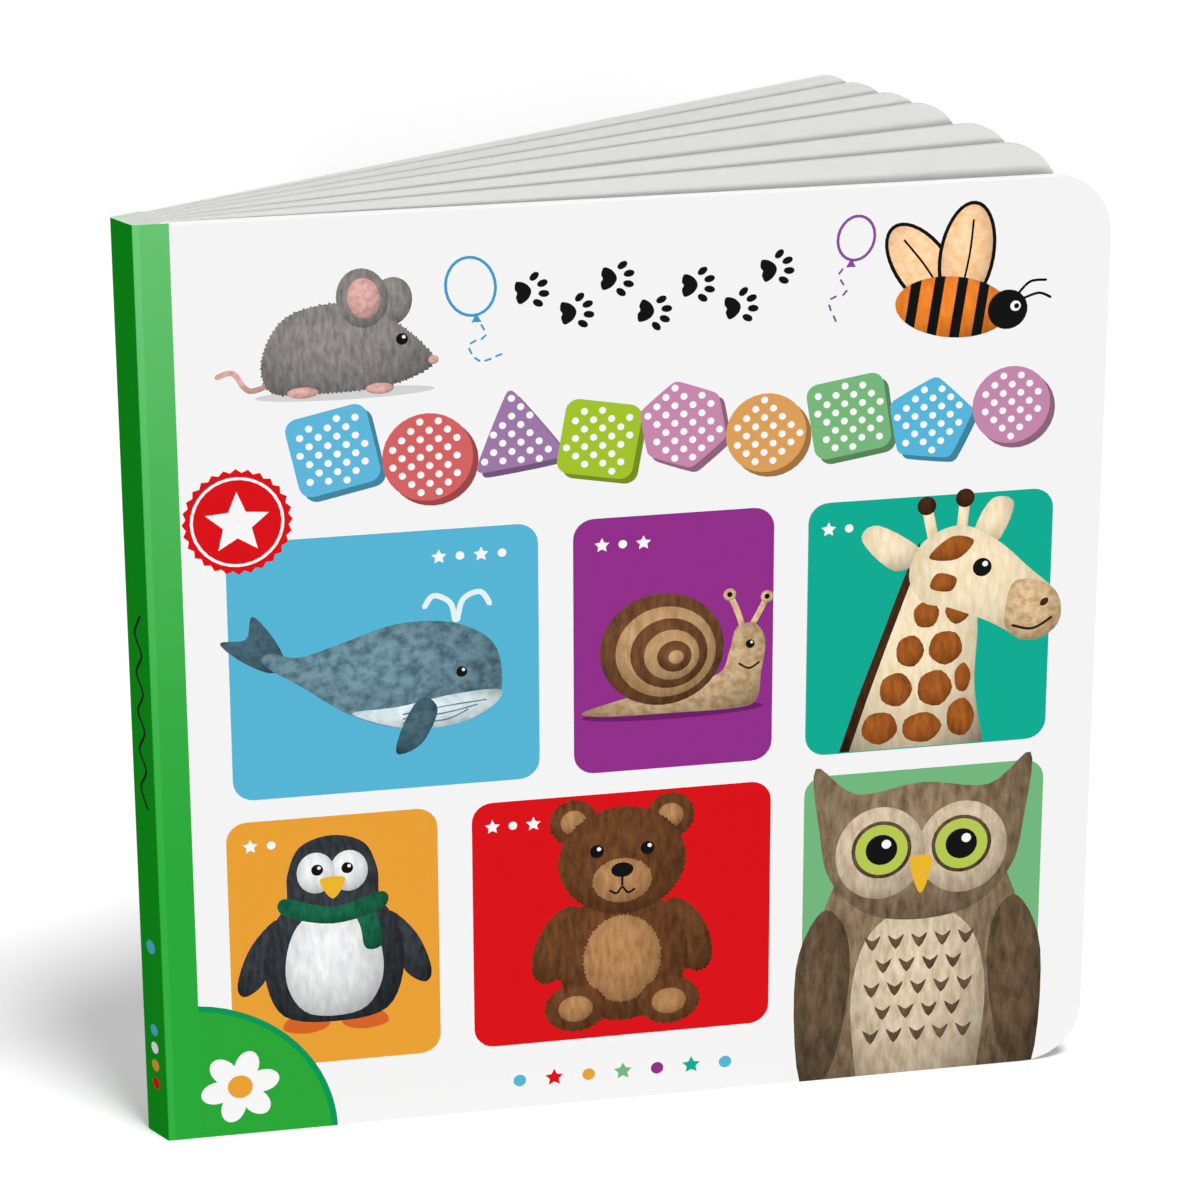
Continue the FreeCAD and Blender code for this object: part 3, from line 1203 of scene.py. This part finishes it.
@dataclass
class Linings:
    """The white sheets pasted on the faces of the boards.

    Each board face gets one sheet, which has the face's round fore corners.
    """

    height: float
    from_spine: float = 4.0  # mm, clear of the glued gutter

    ROUND = 12  # straight pieces in each round corner

    def build(self, name: str, faces: Sequence[Face], body: str, slot: str) -> None:
        """Lines some board faces.

        Args:
            name: the piece's name.
            faces: the faces that get a sheet, all of one reach.
            body: the body that they are on.
            slot: a slot of the record; not used.
        """
        sheet = Recipe(name, {
            "Length": self._length(faces), "Height": self.height * MM, "Radius": CORNER * MM,
            "Thickness": SHEET * MM, "Material": CoatedPage().material(),
        })
        outline = sheet.add("GeometryNodeCurvePrimitiveQuadrilateral", {
            "Width": sheet.given["Length"], "Height": sheet.given["Height"],
        })["Curve"]
        place = sheet.add("GeometryNodeInputPosition")["Position"]
        fore = sheet.math("GREATER_THAN", sheet.add("ShaderNodeSeparateXYZ", {"Vector": place})["X"], 0.0)
        radius = sheet.math("MULTIPLY", fore, sheet.given["Radius"])
        outline = sheet.add("GeometryNodeFilletCurve", {
            "Curve": outline, "Count": self.ROUND, "Radius": radius,
        }, mode="POLY")["Curve"]
        flat = sheet.add("GeometryNodeFillCurve", {"Curve": outline}, mode="NGONS")["Mesh"]
        flat = sheet.add("GeometryNodeMergeByDistance", {"Geometry": flat, "Distance": WELD})["Geometry"]
        turn = sheet.add("GeometryNodeInputNamedAttribute", {"Name": "turn"}, data_type="FLOAT_VECTOR")
        turn = sheet.add("FunctionNodeEulerToRotation", {"Euler": turn["Attribute"]})["Rotation"]
        sheets = sheet.repeat(sheet.given["Geometry"], flat, Rotation=turn)
        finish_mesh(sheet.run(sheets, self._middles(faces)), name, body)

    def _length(self, faces: Sequence[Face]) -> float:
        """From the edge of a sheet near the spine to the fore edge, in metres."""
        return min(face.reach for face in faces) - self.from_spine * MM

    def _middles(self, faces: Sequence[Face]) -> bpy.types.Mesh:
        """Marks where the sheets go.

        Args:
            faces: the faces that get a sheet.

        Returns:
            A point in the middle of each sheet, with the turn that lays it on its face.
        """
        middles, turns = [], []
        up = Vector((0, 0, self.height * MM / 2))
        for face in faces:
            along = face.reach - self._length(faces) / 2
            middles.append(face.normal * face.distance + face.along * along + up)
            turns += Matrix((face.along, face.normal.cross(face.along), face.normal)).transposed().to_euler()
        mesh = bpy.data.meshes.new("sheet_middles")
        mesh.from_pydata(middles, [], [])
        mesh.attributes.new("turn", "FLOAT_VECTOR", "POINT").data.foreach_set("vector", turns)
        return mesh


@dataclass(frozen=True)
class Block:
    """One of the spotted toy shapes in the row.

    Attributes:
        ink: its colour.
        x: its centre, in mm from the fold.
        y: its centre, in mm from the foot.
        sides: 0 for a ball, 4 for a block with round corners, or the number of its corners.
        size: centre to edge or to corner, in mm.
        turn: degrees.
    """

    ink: Ink
    x: float
    y: float
    sides: int
    size: float
    turn: float = 0.0

    SHADOW = (0.9, -0.9)  # mm, from a shape's face to its darker edge
    SHADE = 0.72  # share of the colour that the darker edge has
    ROUND = 2.2  # radius of a block's corners
    FROM_CORNER = 0.2  # share of a side at which a sharper corner starts to turn
    DULL = 0.07  # how far such a corner is drawn in

    def outline(self, inset: float = 0.0, shift: Point = (0.0, 0.0)) -> Outline:
        """The edge of the shape.

        Args:
            inset: mm that it is drawn smaller.
            shift: mm that it is moved.

        Returns:
            The outline.
        """
        x, y, size = self.x + shift[0], self.y + shift[1], self.size - inset
        if self.sides == 0:
            return oval(x, y, size)
        if self.sides == 4:
            return block(x, y, 2 * size, 2 * size, self.ROUND, self.turn)
        ring = [Vector(p) for p in pointed(x, y, size, self.sides, turn=90 + self.turn)]
        points = []
        for before, corner, after in zip([ring[-1], *ring], ring, [*ring[1:], ring[0]]):
            points += [corner.lerp(before, self.FROM_CORNER), corner.lerp((before + after) / 2, self.DULL),
                       corner.lerp(after, self.FROM_CORNER)]
        return smooth([tuple(point) for point in points], steps=3)

    @property
    def edge_ink(self) -> Ink:
        """The darker ink of the shape's edge."""
        return Ink(f"{self.ink.name}_edge", tint(self.ink.colour, self.SHADE))


BLOCKS = (
    Block(Ink("row_blue", "60BADE"), 31.5, 124.6, 4, 7.0, 12),
    Block(Ink("row_coral", "D76464"), 47.4, 122.4, 0, 7.7),
    Block(Ink("row_purple", "A07AAA"), 62.6, 124.6, 3, 9.6, 8),
    Block(Ink("row_lime", "A5C62E"), 76.6, 123.6, 4, 6.6, -10),
    Block(Ink("row_pink", "C98AAE"), 91.0, 125.2, 6, 8.0, 10),
    Block(Ink("row_orange", "E0A25C"), 105.4, 122.8, 0, 7.0),
    Block(Ink("row_green", "7ABA7E"), 119.8, 124.8, 4, 6.8, 9),
    Block(Ink("row_sky", "58B8DE"), 134.0, 123.2, 5, 8.0, -8),
    Block(Ink("row_rose", "C68AAE"), 148.4, 125.0, 0, 6.9),
)


@dataclass(kw_only=True)
class CoverPrint(Drawing):
    """The picture on the front cover, in mm from the fold and from the foot."""

    height: float
    band: float = 5.7  # width of the green band beside the fold
    fold_highlight_width: float = 0.9  # a paler strip of painted highlight along the rounded fold
    head_highlight_width: float = 0.4  # a strip of painted highlight along the head, in a brighter white than the paper
    past_fore_edge: float = 200.0
    tile_radius: float = 3.6
    badge: Point = (3.0, -1.0)
    badge_radii: tuple[float, float] = (26.5, 25.4)  # of its rim and of its face
    flower: Point = (12.5, 9.2)
    seal: Point = (15.2, 113.2)

    TILES = (
        (SKY_BLUE, 13, 66, 63, 109.5), (PLUM, 72, 107, 63, 109.5), (TEAL, 113, 156.5, 63, 109.5),
        (MARIGOLD, 11.5, 48, 12.5, 59), (SCARLET, 54, 107, 12.5, 59), (MEADOW, 113, 156.5, 12.5, 59),
    )
    CAPTIONS = ((49, 104.6, 4), (77, 104.6, 3), (116.6, 104.6, 2), (15.6, 54.4, 2), (57.6, 54.4, 3))
    FOOT_ROW = (SKY_BLUE, SCARLET, MARIGOLD, MEADOW, PLUM, TEAL, SKY_BLUE)
    BALLOONS = ((BALLOON_BLUE, 55.0, 151.5, 4.4, 10.0), (BALLOON_PLUM, 120.5, 156.0, 3.4, -12.0))

    def draw(self) -> None:
        """Prints the whole picture, from the ground up."""
        under, over, far = self.height - self.head_highlight_width, self.height + BEYOND, self.past_fore_edge
        # a strip of painted highlight along the head, brighter than the paper
        self.add(HEAD_HIGHLIGHT, [(0, under), (far, under), (far, over), (0, over)])
        for ink, left, right, low, high in self.TILES:
            middle = ((left + right) / 2, (low + high) / 2)
            self.add(ink, block(*middle, right - left, high - low, self.tile_radius))
        self._animals()
        for ink, radius in zip((BADGE_RIM, BADGE_GREEN), self.badge_radii):
            self.add(ink, oval(*self.badge, radius))
        self.add(BAND_GREEN, strip(self.fold_highlight_width, self.band, self.height))
        # a paler strip of painted highlight along the rounded fold
        self.add(FOLD_HIGHLIGHT_GREEN, strip(-BEYOND, self.fold_highlight_width, self.height))
        self._flower()
        self._seal()
        self._captions()
        self._balloons()
        for shape in BLOCKS:
            self.add(shape.edge_ink, shape.outline(shift=shape.SHADOW))
        for shape in BLOCKS:
            self.add(shape.ink, shape.outline())

    def _animals(self) -> None:
        """Prints the animals, each one on or beside its tile."""
        self.place(whale(), 40, 83.5, 0, 0.8)
        self.place(snail(), 89.4, 84.5, 0, 0.8)
        self.place(giraffe(), 131.5, 86.2)
        self.place(penguin(), 29.6, 37.6, 0, 0.87)
        self.place(bear(), 80.5, 37)
        self.place(owl(40), 134.5, 38)
        self.place(mouse(), 32, 142.5, 0, 0.88)
        self.place(bee(), 137.5, 143, 6, 0.92)

    def _flower(self) -> None:
        """Prints the flower on the round green badge."""
        x, y = self.flower
        for turn in range(12, 372, 60):
            angle = math.radians(turn)
            self.add(DOT_WHITE, oval(x + 4.1 * math.cos(angle), y + 4.1 * math.sin(angle), 2.9, 2.1, turn))
        self.add(MARIGOLD, oval(x, y, 2.2))

    def _seal(self) -> None:
        """Prints a round red seal with a toothed edge, a white ring and a white star."""
        x, y = self.seal
        self.add(SCARLET, pointed(x, y, 9.3, 28, 0.93))
        self.add(DOT_WHITE, oval(x, y, 7.9))
        self.add(SCARLET, oval(x, y, 7.4))
        self.add(DOT_WHITE, pointed(x, y - 0.3, 5.6, 5, 0.45))

    def _captions(self) -> None:
        """Prints small white stars and dots in a corner of each tile, and a coloured row at the foot."""
        for left, y, count in self.CAPTIONS:
            for i in range(count):
                x = left + 3.6 * i
                self.add(DOT_WHITE, oval(x, y, 0.75) if i % 2 else pointed(x, y, 1.35, 5, 0.5))
        for i, ink in enumerate(self.FOOT_ROW):
            x, y = 62 + 6.2 * i, 5.4
            self.add(ink, pointed(x, y, 1.7, 5, 0.5) if i % 2 else oval(x, y, 1.15))

    def _balloons(self) -> None:
        """Prints two outlined balloons, without their strings."""
        for ink, x, y, size, turn in self.BALLOONS:
            tall, angle = 1.2 * size, math.radians(turn)
            self.add(ink, oval(x, y, size, tall, turn))
            self.add(WHITE, oval(x, y, size - 0.5, tall - 0.5, turn))
            knot = x + math.sin(angle) * tall, y - math.cos(angle) * (tall + 0.5)
            self.add(ink, moved(pointed(0, 0, 1.0, 3), *knot))


@dataclass
class RaisedPrint:
    """Small figures in thick spot varnish ink on the front cover, in mm.

    They are the white spots on the toy shapes, the dashed strings and a walk of paw prints.
    """

    fold: Fold
    pitch: float = 3.1  # between the columns of spots
    spot: float = 0.62  # radius of a spot
    margin: float = 1.05  # from a shape's edge to the nearest spot's centre
    step: float = 6.6  # from one paw print to the next
    sway: float = 5.0  # from the left prints to the right ones
    paw: float = 1.5  # size of a paw print, as a share of the drawn one
    dash: float = 1.0  # length of a dash
    dash_width: float = 0.34
    dash_step: float = 1.9  # from one dash to the next, as a share of its length

    ABOVE = 0.01  # metres above the sheet, where the spots' grid is held
    STRINGS = (
        ("blue_string", BALLOON_BLUE,
         ((55.9, 146.0), (57.4, 143.0), (54.6, 141.4), (56.4, 138.6), (59.6, 139.4))),
        ("plum_string", BALLOON_PLUM,
         ((119.6, 151.7), (117.6, 149.8), (118.9, 146.8), (116.0, 145.4), (117.0, 142.2))),
    )
    PAW_WALK = ((64.6, 147.6), (78.0, 149.0), (92.0, 147.0), (106.4, 149.0))

    def build(self) -> None:
        """Prints the spots, the strings and the paw prints."""
        self._spots()
        half = self.dash / 2
        for name, ink, path in self.STRINGS:
            dash = stroke([(-half, 0), (0, 0), (half, 0)], self.dash_width)
            self._trail(name, ink, path, [dash], self.dash_step * self.dash, 0.0)
        self._trail("paw_prints", BLACK, self.PAW_WALK, self._paw(), self.step, self.sway)

    def _spots(self) -> None:
        """Prints white spots in a staggered grid, wherever one lies inside a toy shape."""
        pitch = self.pitch * MM
        recipe = Recipe("white_spots", {
            "Pitch": pitch, "Radius": self.spot * MM, "Thickness": SPOT * MM,
            "Material": DOT_WHITE.material(),
        })
        source = flat_mesh("toy_shapes", [shape.outline(inset=self.margin) for shape in BLOCKS])
        left, right, low, high = extent([vertex.co.xy for vertex in source.vertices])
        columns, rows = (round(size / pitch) + 2 for size in (right - left, high - low))
        grids = []
        for half in (0.0, 0.5):
            grid = recipe.add("GeometryNodeMeshGrid", {
                "Size X": recipe.math("MULTIPLY", recipe.given["Pitch"], float(columns - 1)),
                "Size Y": recipe.math("MULTIPLY", recipe.given["Pitch"], float(rows - 1)),
                "Vertices X": columns, "Vertices Y": rows,
            })["Mesh"]
            shift = (half * pitch + (left + right) / 2, half * pitch + (low + high) / 2, self.ABOVE)
            grid = recipe.add("GeometryNodeTransform", {"Geometry": grid, "Translation": shift})["Geometry"]
            grids.append(grid)
        inside = recipe.add("GeometryNodeRaycast", {
            "Target Geometry": recipe.given["Geometry"], "Ray Direction": (0.0, 0.0, -1.0),
            "Ray Length": 1.0,
        })["Is Hit"]
        outside = recipe.add("FunctionNodeBooleanMath", {0: inside}, operation="NOT")["Boolean"]
        places = recipe.add("GeometryNodeDeleteGeometry", {
            "Geometry": recipe.join(*grids), "Selection": outside,
        })["Geometry"]
        places = recipe.add("GeometryNodeSetPosition", {
            "Geometry": places, "Offset": (0.0, 0.0, -self.ABOVE),
        })["Geometry"]
        disc = recipe.add("GeometryNodeMeshCircle", {
            "Vertices": 14, "Radius": recipe.given["Radius"],
        }, fill_type="NGON")["Mesh"]
        self._lay(recipe.run(recipe.repeat(places, disc), source), "white_spots")

    def _trail(self, name: str, ink: Ink, path: Sequence[Point], figure: Sequence[Outline],
               step: float, sway: float) -> None:
        """Repeats a figure along a path, turned the way that the path goes.

        Args:
            name: the piece's name.
            ink: what the figures are printed in.
            path: points that the path passes through.
            figure: outlines about the figure's centre, its front to the right.
            step: mm from one figure to the next.
            sway: mm between the left figures and the right ones.
        """
        stamp = bpy.data.objects.new(f"{name}_stamp", flat_mesh(f"{name}_stamp", figure))
        recipe = Recipe(name, {
            "Step": step * MM, "Sway": sway * MM, "Thickness": SPOT * MM, "Stamp": stamp,
            "Material": ink.material(),
        })
        curve = recipe.add("GeometryNodeMeshToCurve", {"Mesh": recipe.given["Geometry"]})["Curve"]
        points = recipe.add("GeometryNodeCurveToPoints", {
            "Curve": curve, "Length": recipe.given["Step"],
        }, mode="LENGTH")
        side = recipe.vector("CROSS_PRODUCT", points["Tangent"], (0.0, 0.0, 1.0))
        odd = recipe.math("MODULO", recipe.add("GeometryNodeInputIndex")["Index"], 2.0)
        offset = recipe.math("MULTIPLY", recipe.math("SUBTRACT", odd, 0.5), recipe.given["Sway"])
        places = recipe.add("GeometryNodeSetPosition", {
            "Geometry": points["Points"], "Offset": recipe.scaled(side, offset),
        })["Geometry"]
        turn = recipe.add("FunctionNodeAlignRotationToVector", {"Vector": points["Tangent"]},
                          axis="X", pivot_axis="Z")["Rotation"]
        flat = recipe.add("GeometryNodeObjectInfo", {"Object": recipe.given["Stamp"]})["Geometry"]
        route = bpy.data.meshes.new(f"{name}_route")
        stops = [(x * MM, y * MM, 0) for x, y in smooth(path, closed=False)]
        route.from_pydata(stops, [(i, i + 1) for i in range(len(stops) - 1)], [])
        mesh = recipe.run(recipe.repeat(places, flat, Rotation=turn), route)
        bpy.data.objects.remove(stamp)
        self._lay(mesh, name)

    def _paw(self) -> list[Outline]:
        """The print of a paw that walks to the right: one pad and four toes.

        Returns:
            The outlines.
        """
        toes = [(1.15, 1.55, 35), (1.95, 0.6, 12), (1.95, -0.6, -12), (1.15, -1.55, -35)]
        pad = smooth([
            (0.6, 0), (0.1, 0.9), (-0.9, 1.3), (-1.2, 0.5),
            (-1.0, 0), (-1.2, -0.5), (-0.9, -1.3), (0.1, -0.9),
        ])
        outlines = [pad, *(oval(x, y, 0.62, 0.4, turn) for x, y, turn in toes)]
        return [moved(outline, 0, 0, 0, self.paw) for outline in outlines]

    def _lay(self, mesh: bpy.types.Mesh, name: str) -> None:
        """Moves a flat print onto the cover, keeping where it lay on the sheet.

        Args:
            mesh: the flat print, in metres from the fold and the foot.
            name: the piece's name.
        """
        flat = mesh.uv_layers.new(name="sheet").data
        for loop in mesh.loops:
            flat[loop.index].uv = mesh.vertices[loop.vertex_index].co.xy
        for vertex in mesh.vertices:
            x, y, lift = vertex.co / MM
            vertex.co = self.fold.point(self.fold.length + x, y, SHEET + lift)
        finish_mesh(mesh, name, self.fold.cover)


def spine_marks() -> Drawing:
    """The small marks on the spine, in mm to the right of its middle and from its foot.

    Returns:
        The drawing, as someone sees it who looks at the spine.
    """
    d = Drawing()
    d.add(BLACK, stroke([(0.9 * (-1) ** i, 62 + 3.5 * i) for i in range(11)], 0.55))
    d.add(SKY_BLUE, oval(0, 36, 1.3))
    for i, ink in enumerate((SCARLET, MARIGOLD, DOT_WHITE, SKY_BLUE)):
        d.add(ink, oval(0, 10 + 3.4 * i, 1.1))
    return d


@dataclass
class Wrap:
    """The printed sheet that covers the spine and the two covers.

    It is made in two halves, which meet along the middle of the spine.
    """

    height: float
    fold_pieces: int = 8  # straight pieces round each fold
    corner_pieces: int = 12  # straight pieces in each round corner
    back_band: float = 5.7  # width of the green band on the back cover, in mm

    def build(self) -> None:
        """Builds both halves, each one shaped round its fold as the cover lies at rest."""
        front = Fold.of("front_cover")
        cover = CoverPrint(height=self.height)
        cover.draw()
        picture = Drawing()
        picture.place(cover, front.length, 0)
        picture.add(SPINE_GREEN, strip(-front.spine_half - BEYOND, front.length / 2, self.height))
        picture.place(spine_marks(), -front.spine_half, 0)
        self._half(front, picture, "front_wrap")
        RaisedPrint(front).build()
        back = Fold.of("back_cover")
        left = -back.spine_half - BEYOND
        plain = Drawing()
        plain.add(BAND_GREEN, strip(left, back.length + self.back_band, self.height))
        plain.add(SPINE_GREEN, strip(left, back.length / 2, self.height))
        for ink, outline in spine_marks().layers:
            plain.add(ink, moved(mirrored(outline), -back.spine_half, 0))
        self._half(back, plain, "back_wrap")

    def _half(self, fold: Fold, picture: Drawing, name: str) -> None:
        """Builds one half of the wrap.

        Args:
            fold: the fold that it bends at.
            picture: what is printed on it.
            name: the piece's name.
        """
        left, fore = -fold.spine_half, fold.length + fold.width - CORNER
        outline = [(left, 0), *arc(fore, CORNER, CORNER, -90, self.corner_pieces),
                   *arc(fore, self.height - CORNER, CORNER, 0, self.corner_pieces), (left, self.height)]
        cuts = [fold.length * i / self.fold_pieces for i in range(self.fold_pieces + 1)]
        mesh = PrintedSheet(outline, WHITE, picture, cuts).mesh(name, fold.point)
        piece = add_object(name, mesh)
        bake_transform(piece)
        LOG.info("%s: %d faces, bends with %s", name, len(mesh.polygons), fold.cover)


@dataclass
class BookBlock:
    """The cut boards of the book, and the white sheets on them."""

    height: float
    thickest: float = 2.0  # mm, more than any board measures

    def dress(self) -> None:
        """Gives each CAD node its cut-board finish, and lines its faces."""
        leaves = board_faces("page_block")
        pages = CutBoard("guillotined_page_board", "D9D9D8", "D9D9D8", 1.0, self._middles(leaves))
        cover = CutBoard("guillotined_cover_board", "FBFBFB", "BFE8C2", 6.5)
        self._finish("page_block", pages)
        self._finish("spine", cover)
        linings = Linings(self.height)
        linings.build("page_sheets", leaves, "book_block", "page_board")
        for name in ("front_cover", "back_cover"):
            self._finish(name, cover)
            outer = Fold.of(name).face.normal
            inner = [face for face in board_faces(name) if face.normal.dot(outer) < 0]
            linings.build(f"{name}_lining", inner, name, "printed_cover")

    @staticmethod
    def _finish(node: str, finish: CutBoard) -> None:
        """Puts a finish on every slot of a CAD node.

        Args:
            node: the node's name.
            finish: its finish.
        """
        for slot in frame["nodes"][node].material_slots:
            slot.material = finish.material()
        LOG.info("%s: %s", node, finish.name)

    def _middles(self, faces: Sequence[Face]) -> list[Plane]:
        """The middle plane of each board.

        Args:
            faces: both faces of each board.

        Returns:
            The planes.
        """
        opposite = -0.9999  # the cosine between the normals of a board's two faces is less
        planes = []
        for face in faces:
            for other in faces:
                apart = abs(face.distance + other.distance) < self.thickest * MM
                if apart and face.normal.y < 0 and face.normal.dot(other.normal) < opposite:
                    planes.append((face.normal.copy(), (face.distance - other.distance) / 2))
        return planes


@dataclass(frozen=True)
class Lamp:
    """A distant lamp that looks as wide as a soft box does from the book.

    Attributes:
        name: its name.
        side: where it stands, seen from above.
        height: degrees above the floor.
        spread: degrees across.
        level: its strength.
    """

    name: str
    side: tuple[float, float]
    height: float
    spread: float
    level: float

    def build(self) -> None:
        """Adds the lamp."""
        light = bpy.data.lights.new(self.name, "SUN")
        light.energy = self.level
        light.angle = math.radians(self.spread)
        towards = Vector((*self.side, 0)).normalized() * math.cos(math.radians(self.height))
        towards.z = math.sin(math.radians(self.height))
        add_object(self.name, light).rotation_euler = (-towards).to_track_quat("-Z", "Y").to_euler()


@dataclass
class Studio:
    """A white floor that keeps the book's shadow, three large soft lamps, and the camera."""

    camera_place: tuple[float, float, float] = (-0.371746, -0.573961, 0.350333)
    heading: float = 39.4022  # degrees from +Y towards +X
    pitch: float = 20.2702  # degrees down
    roll: float = -0.1244
    lens: float = 130.014  # mm, on a sensor 36 mm wide
    lamps: tuple[Lamp, ...] = (
        Lamp("overhead_soft_box", (-0.015, -1.0), 67.0, 17.0, 2.05),
        Lamp("front_soft_box", (-0.6, -0.8), 12.3, 4.5, 1.75),
        Lamp("rear_fill", (0.35, 1.0), 4.0, 5.0, 0.9),
    )
    room_level: float = 0.26
    floor_size: float = 6.0  # metres
    floor_paint: float = 1.0  # share of light that the floor gives back to the camera
    floor_bounce: float = 0.2  # share that it gives back to the book
    floor_glow: float = 0.075

    def build(self) -> None:
        """Sets up the room, the floor, the lamps and the camera."""
        bpy.context.scene.view_settings.view_transform = "Standard"
        self._room()
        self._floor()
        for lamp in self.lamps:
            lamp.build()
        self._camera()
        LOG.info("studio: room, floor, %d lamps and camera", len(self.lamps))

    def _room(self) -> None:
        """Adds an even pale room that the camera sees as white."""
        world = bpy.data.worlds.new("pale_room")
        nodes = Nodes.of(world)
        strength = nodes.spread(self._seen(nodes), 0.0, 1.0, self.room_level, 1.0)
        light = nodes.add("ShaderNodeBackground", {"Color": linear("FFFFFF"), "Strength": strength})
        nodes.add("ShaderNodeOutputWorld", {"Surface": light["Background"]})
        bpy.context.scene.world = world

    @staticmethod
    def _seen(nodes: Nodes) -> Socket:
        """Tells the camera's light from the light that falls on the book.

        Args:
            nodes: the tree.

        Returns:
            1 for what is seen straight, mirrored or through glass, and 0 for the rest.
        """
        path = nodes.add("ShaderNodeLightPath")
        either = nodes.math("MAXIMUM", path["Is Camera Ray"], path["Is Glossy Ray"])
        return nodes.math("MAXIMUM", either, path["Is Transmission Ray"])

    def _floor(self) -> None:
        """Adds a painted floor whose own glow, for the camera only, lifts it to white outside the shadow."""
        half = self.floor_size / 2
        mesh = bpy.data.meshes.new("floor")
        corners = [(-half, -half, 0), (half, -half, 0), (half, half, 0), (-half, half, 0)]
        mesh.from_pydata(corners, [], [(0, 1, 2, 3)])
        mesh.materials.append(made_once("matt_white_paint", self._paint))
        add_object("floor", mesh)

    def _paint(self, nodes: Nodes) -> None:
        """Fills the tree of the floor's paint.

        Args:
            nodes: the tree.
        """
        seen = self._seen(nodes)
        share = nodes.spread(seen, 0.0, 1.0, self.floor_bounce, self.floor_paint)
        paint = nodes.add("ShaderNodeBsdfDiffuse", {"Color": share})[0]
        strength = nodes.math("MULTIPLY", seen, self.floor_glow)
        glow = nodes.add("ShaderNodeEmission", {"Color": linear("FFFFFF"), "Strength": strength})[0]
        both = nodes.add("ShaderNodeAddShader", {0: paint, 1: glow})[0]
        nodes.add("ShaderNodeOutputMaterial", {"Surface": both})

    def _camera(self) -> None:
        """Adds the camera, at the reference view."""
        data = bpy.data.cameras.new("camera")
        data.lens = self.lens
        data.sensor_width = 36.0
        data.sensor_fit = "HORIZONTAL"
        data.clip_start = 0.01
        turn = (Matrix.Rotation(math.radians(-self.heading), 4, "Z")
                @ Matrix.Rotation(math.radians(90 - self.pitch), 4, "X")
                @ Matrix.Rotation(math.radians(self.roll), 4, "Z"))
        camera = add_object("camera", data)
        camera.matrix_world = Matrix.Translation(self.camera_place) @ turn
        bpy.context.scene.camera = camera


def main() -> None:
    """Builds the book's looks and the studio."""
    logging.basicConfig(level=logging.INFO, format="%(name)s: %(message)s")
    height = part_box("back_cover")[1][2] / MM
    BookBlock(height).dress()
    Wrap(height).build()
    Studio().build()


if __name__ == "__main__":
    main()
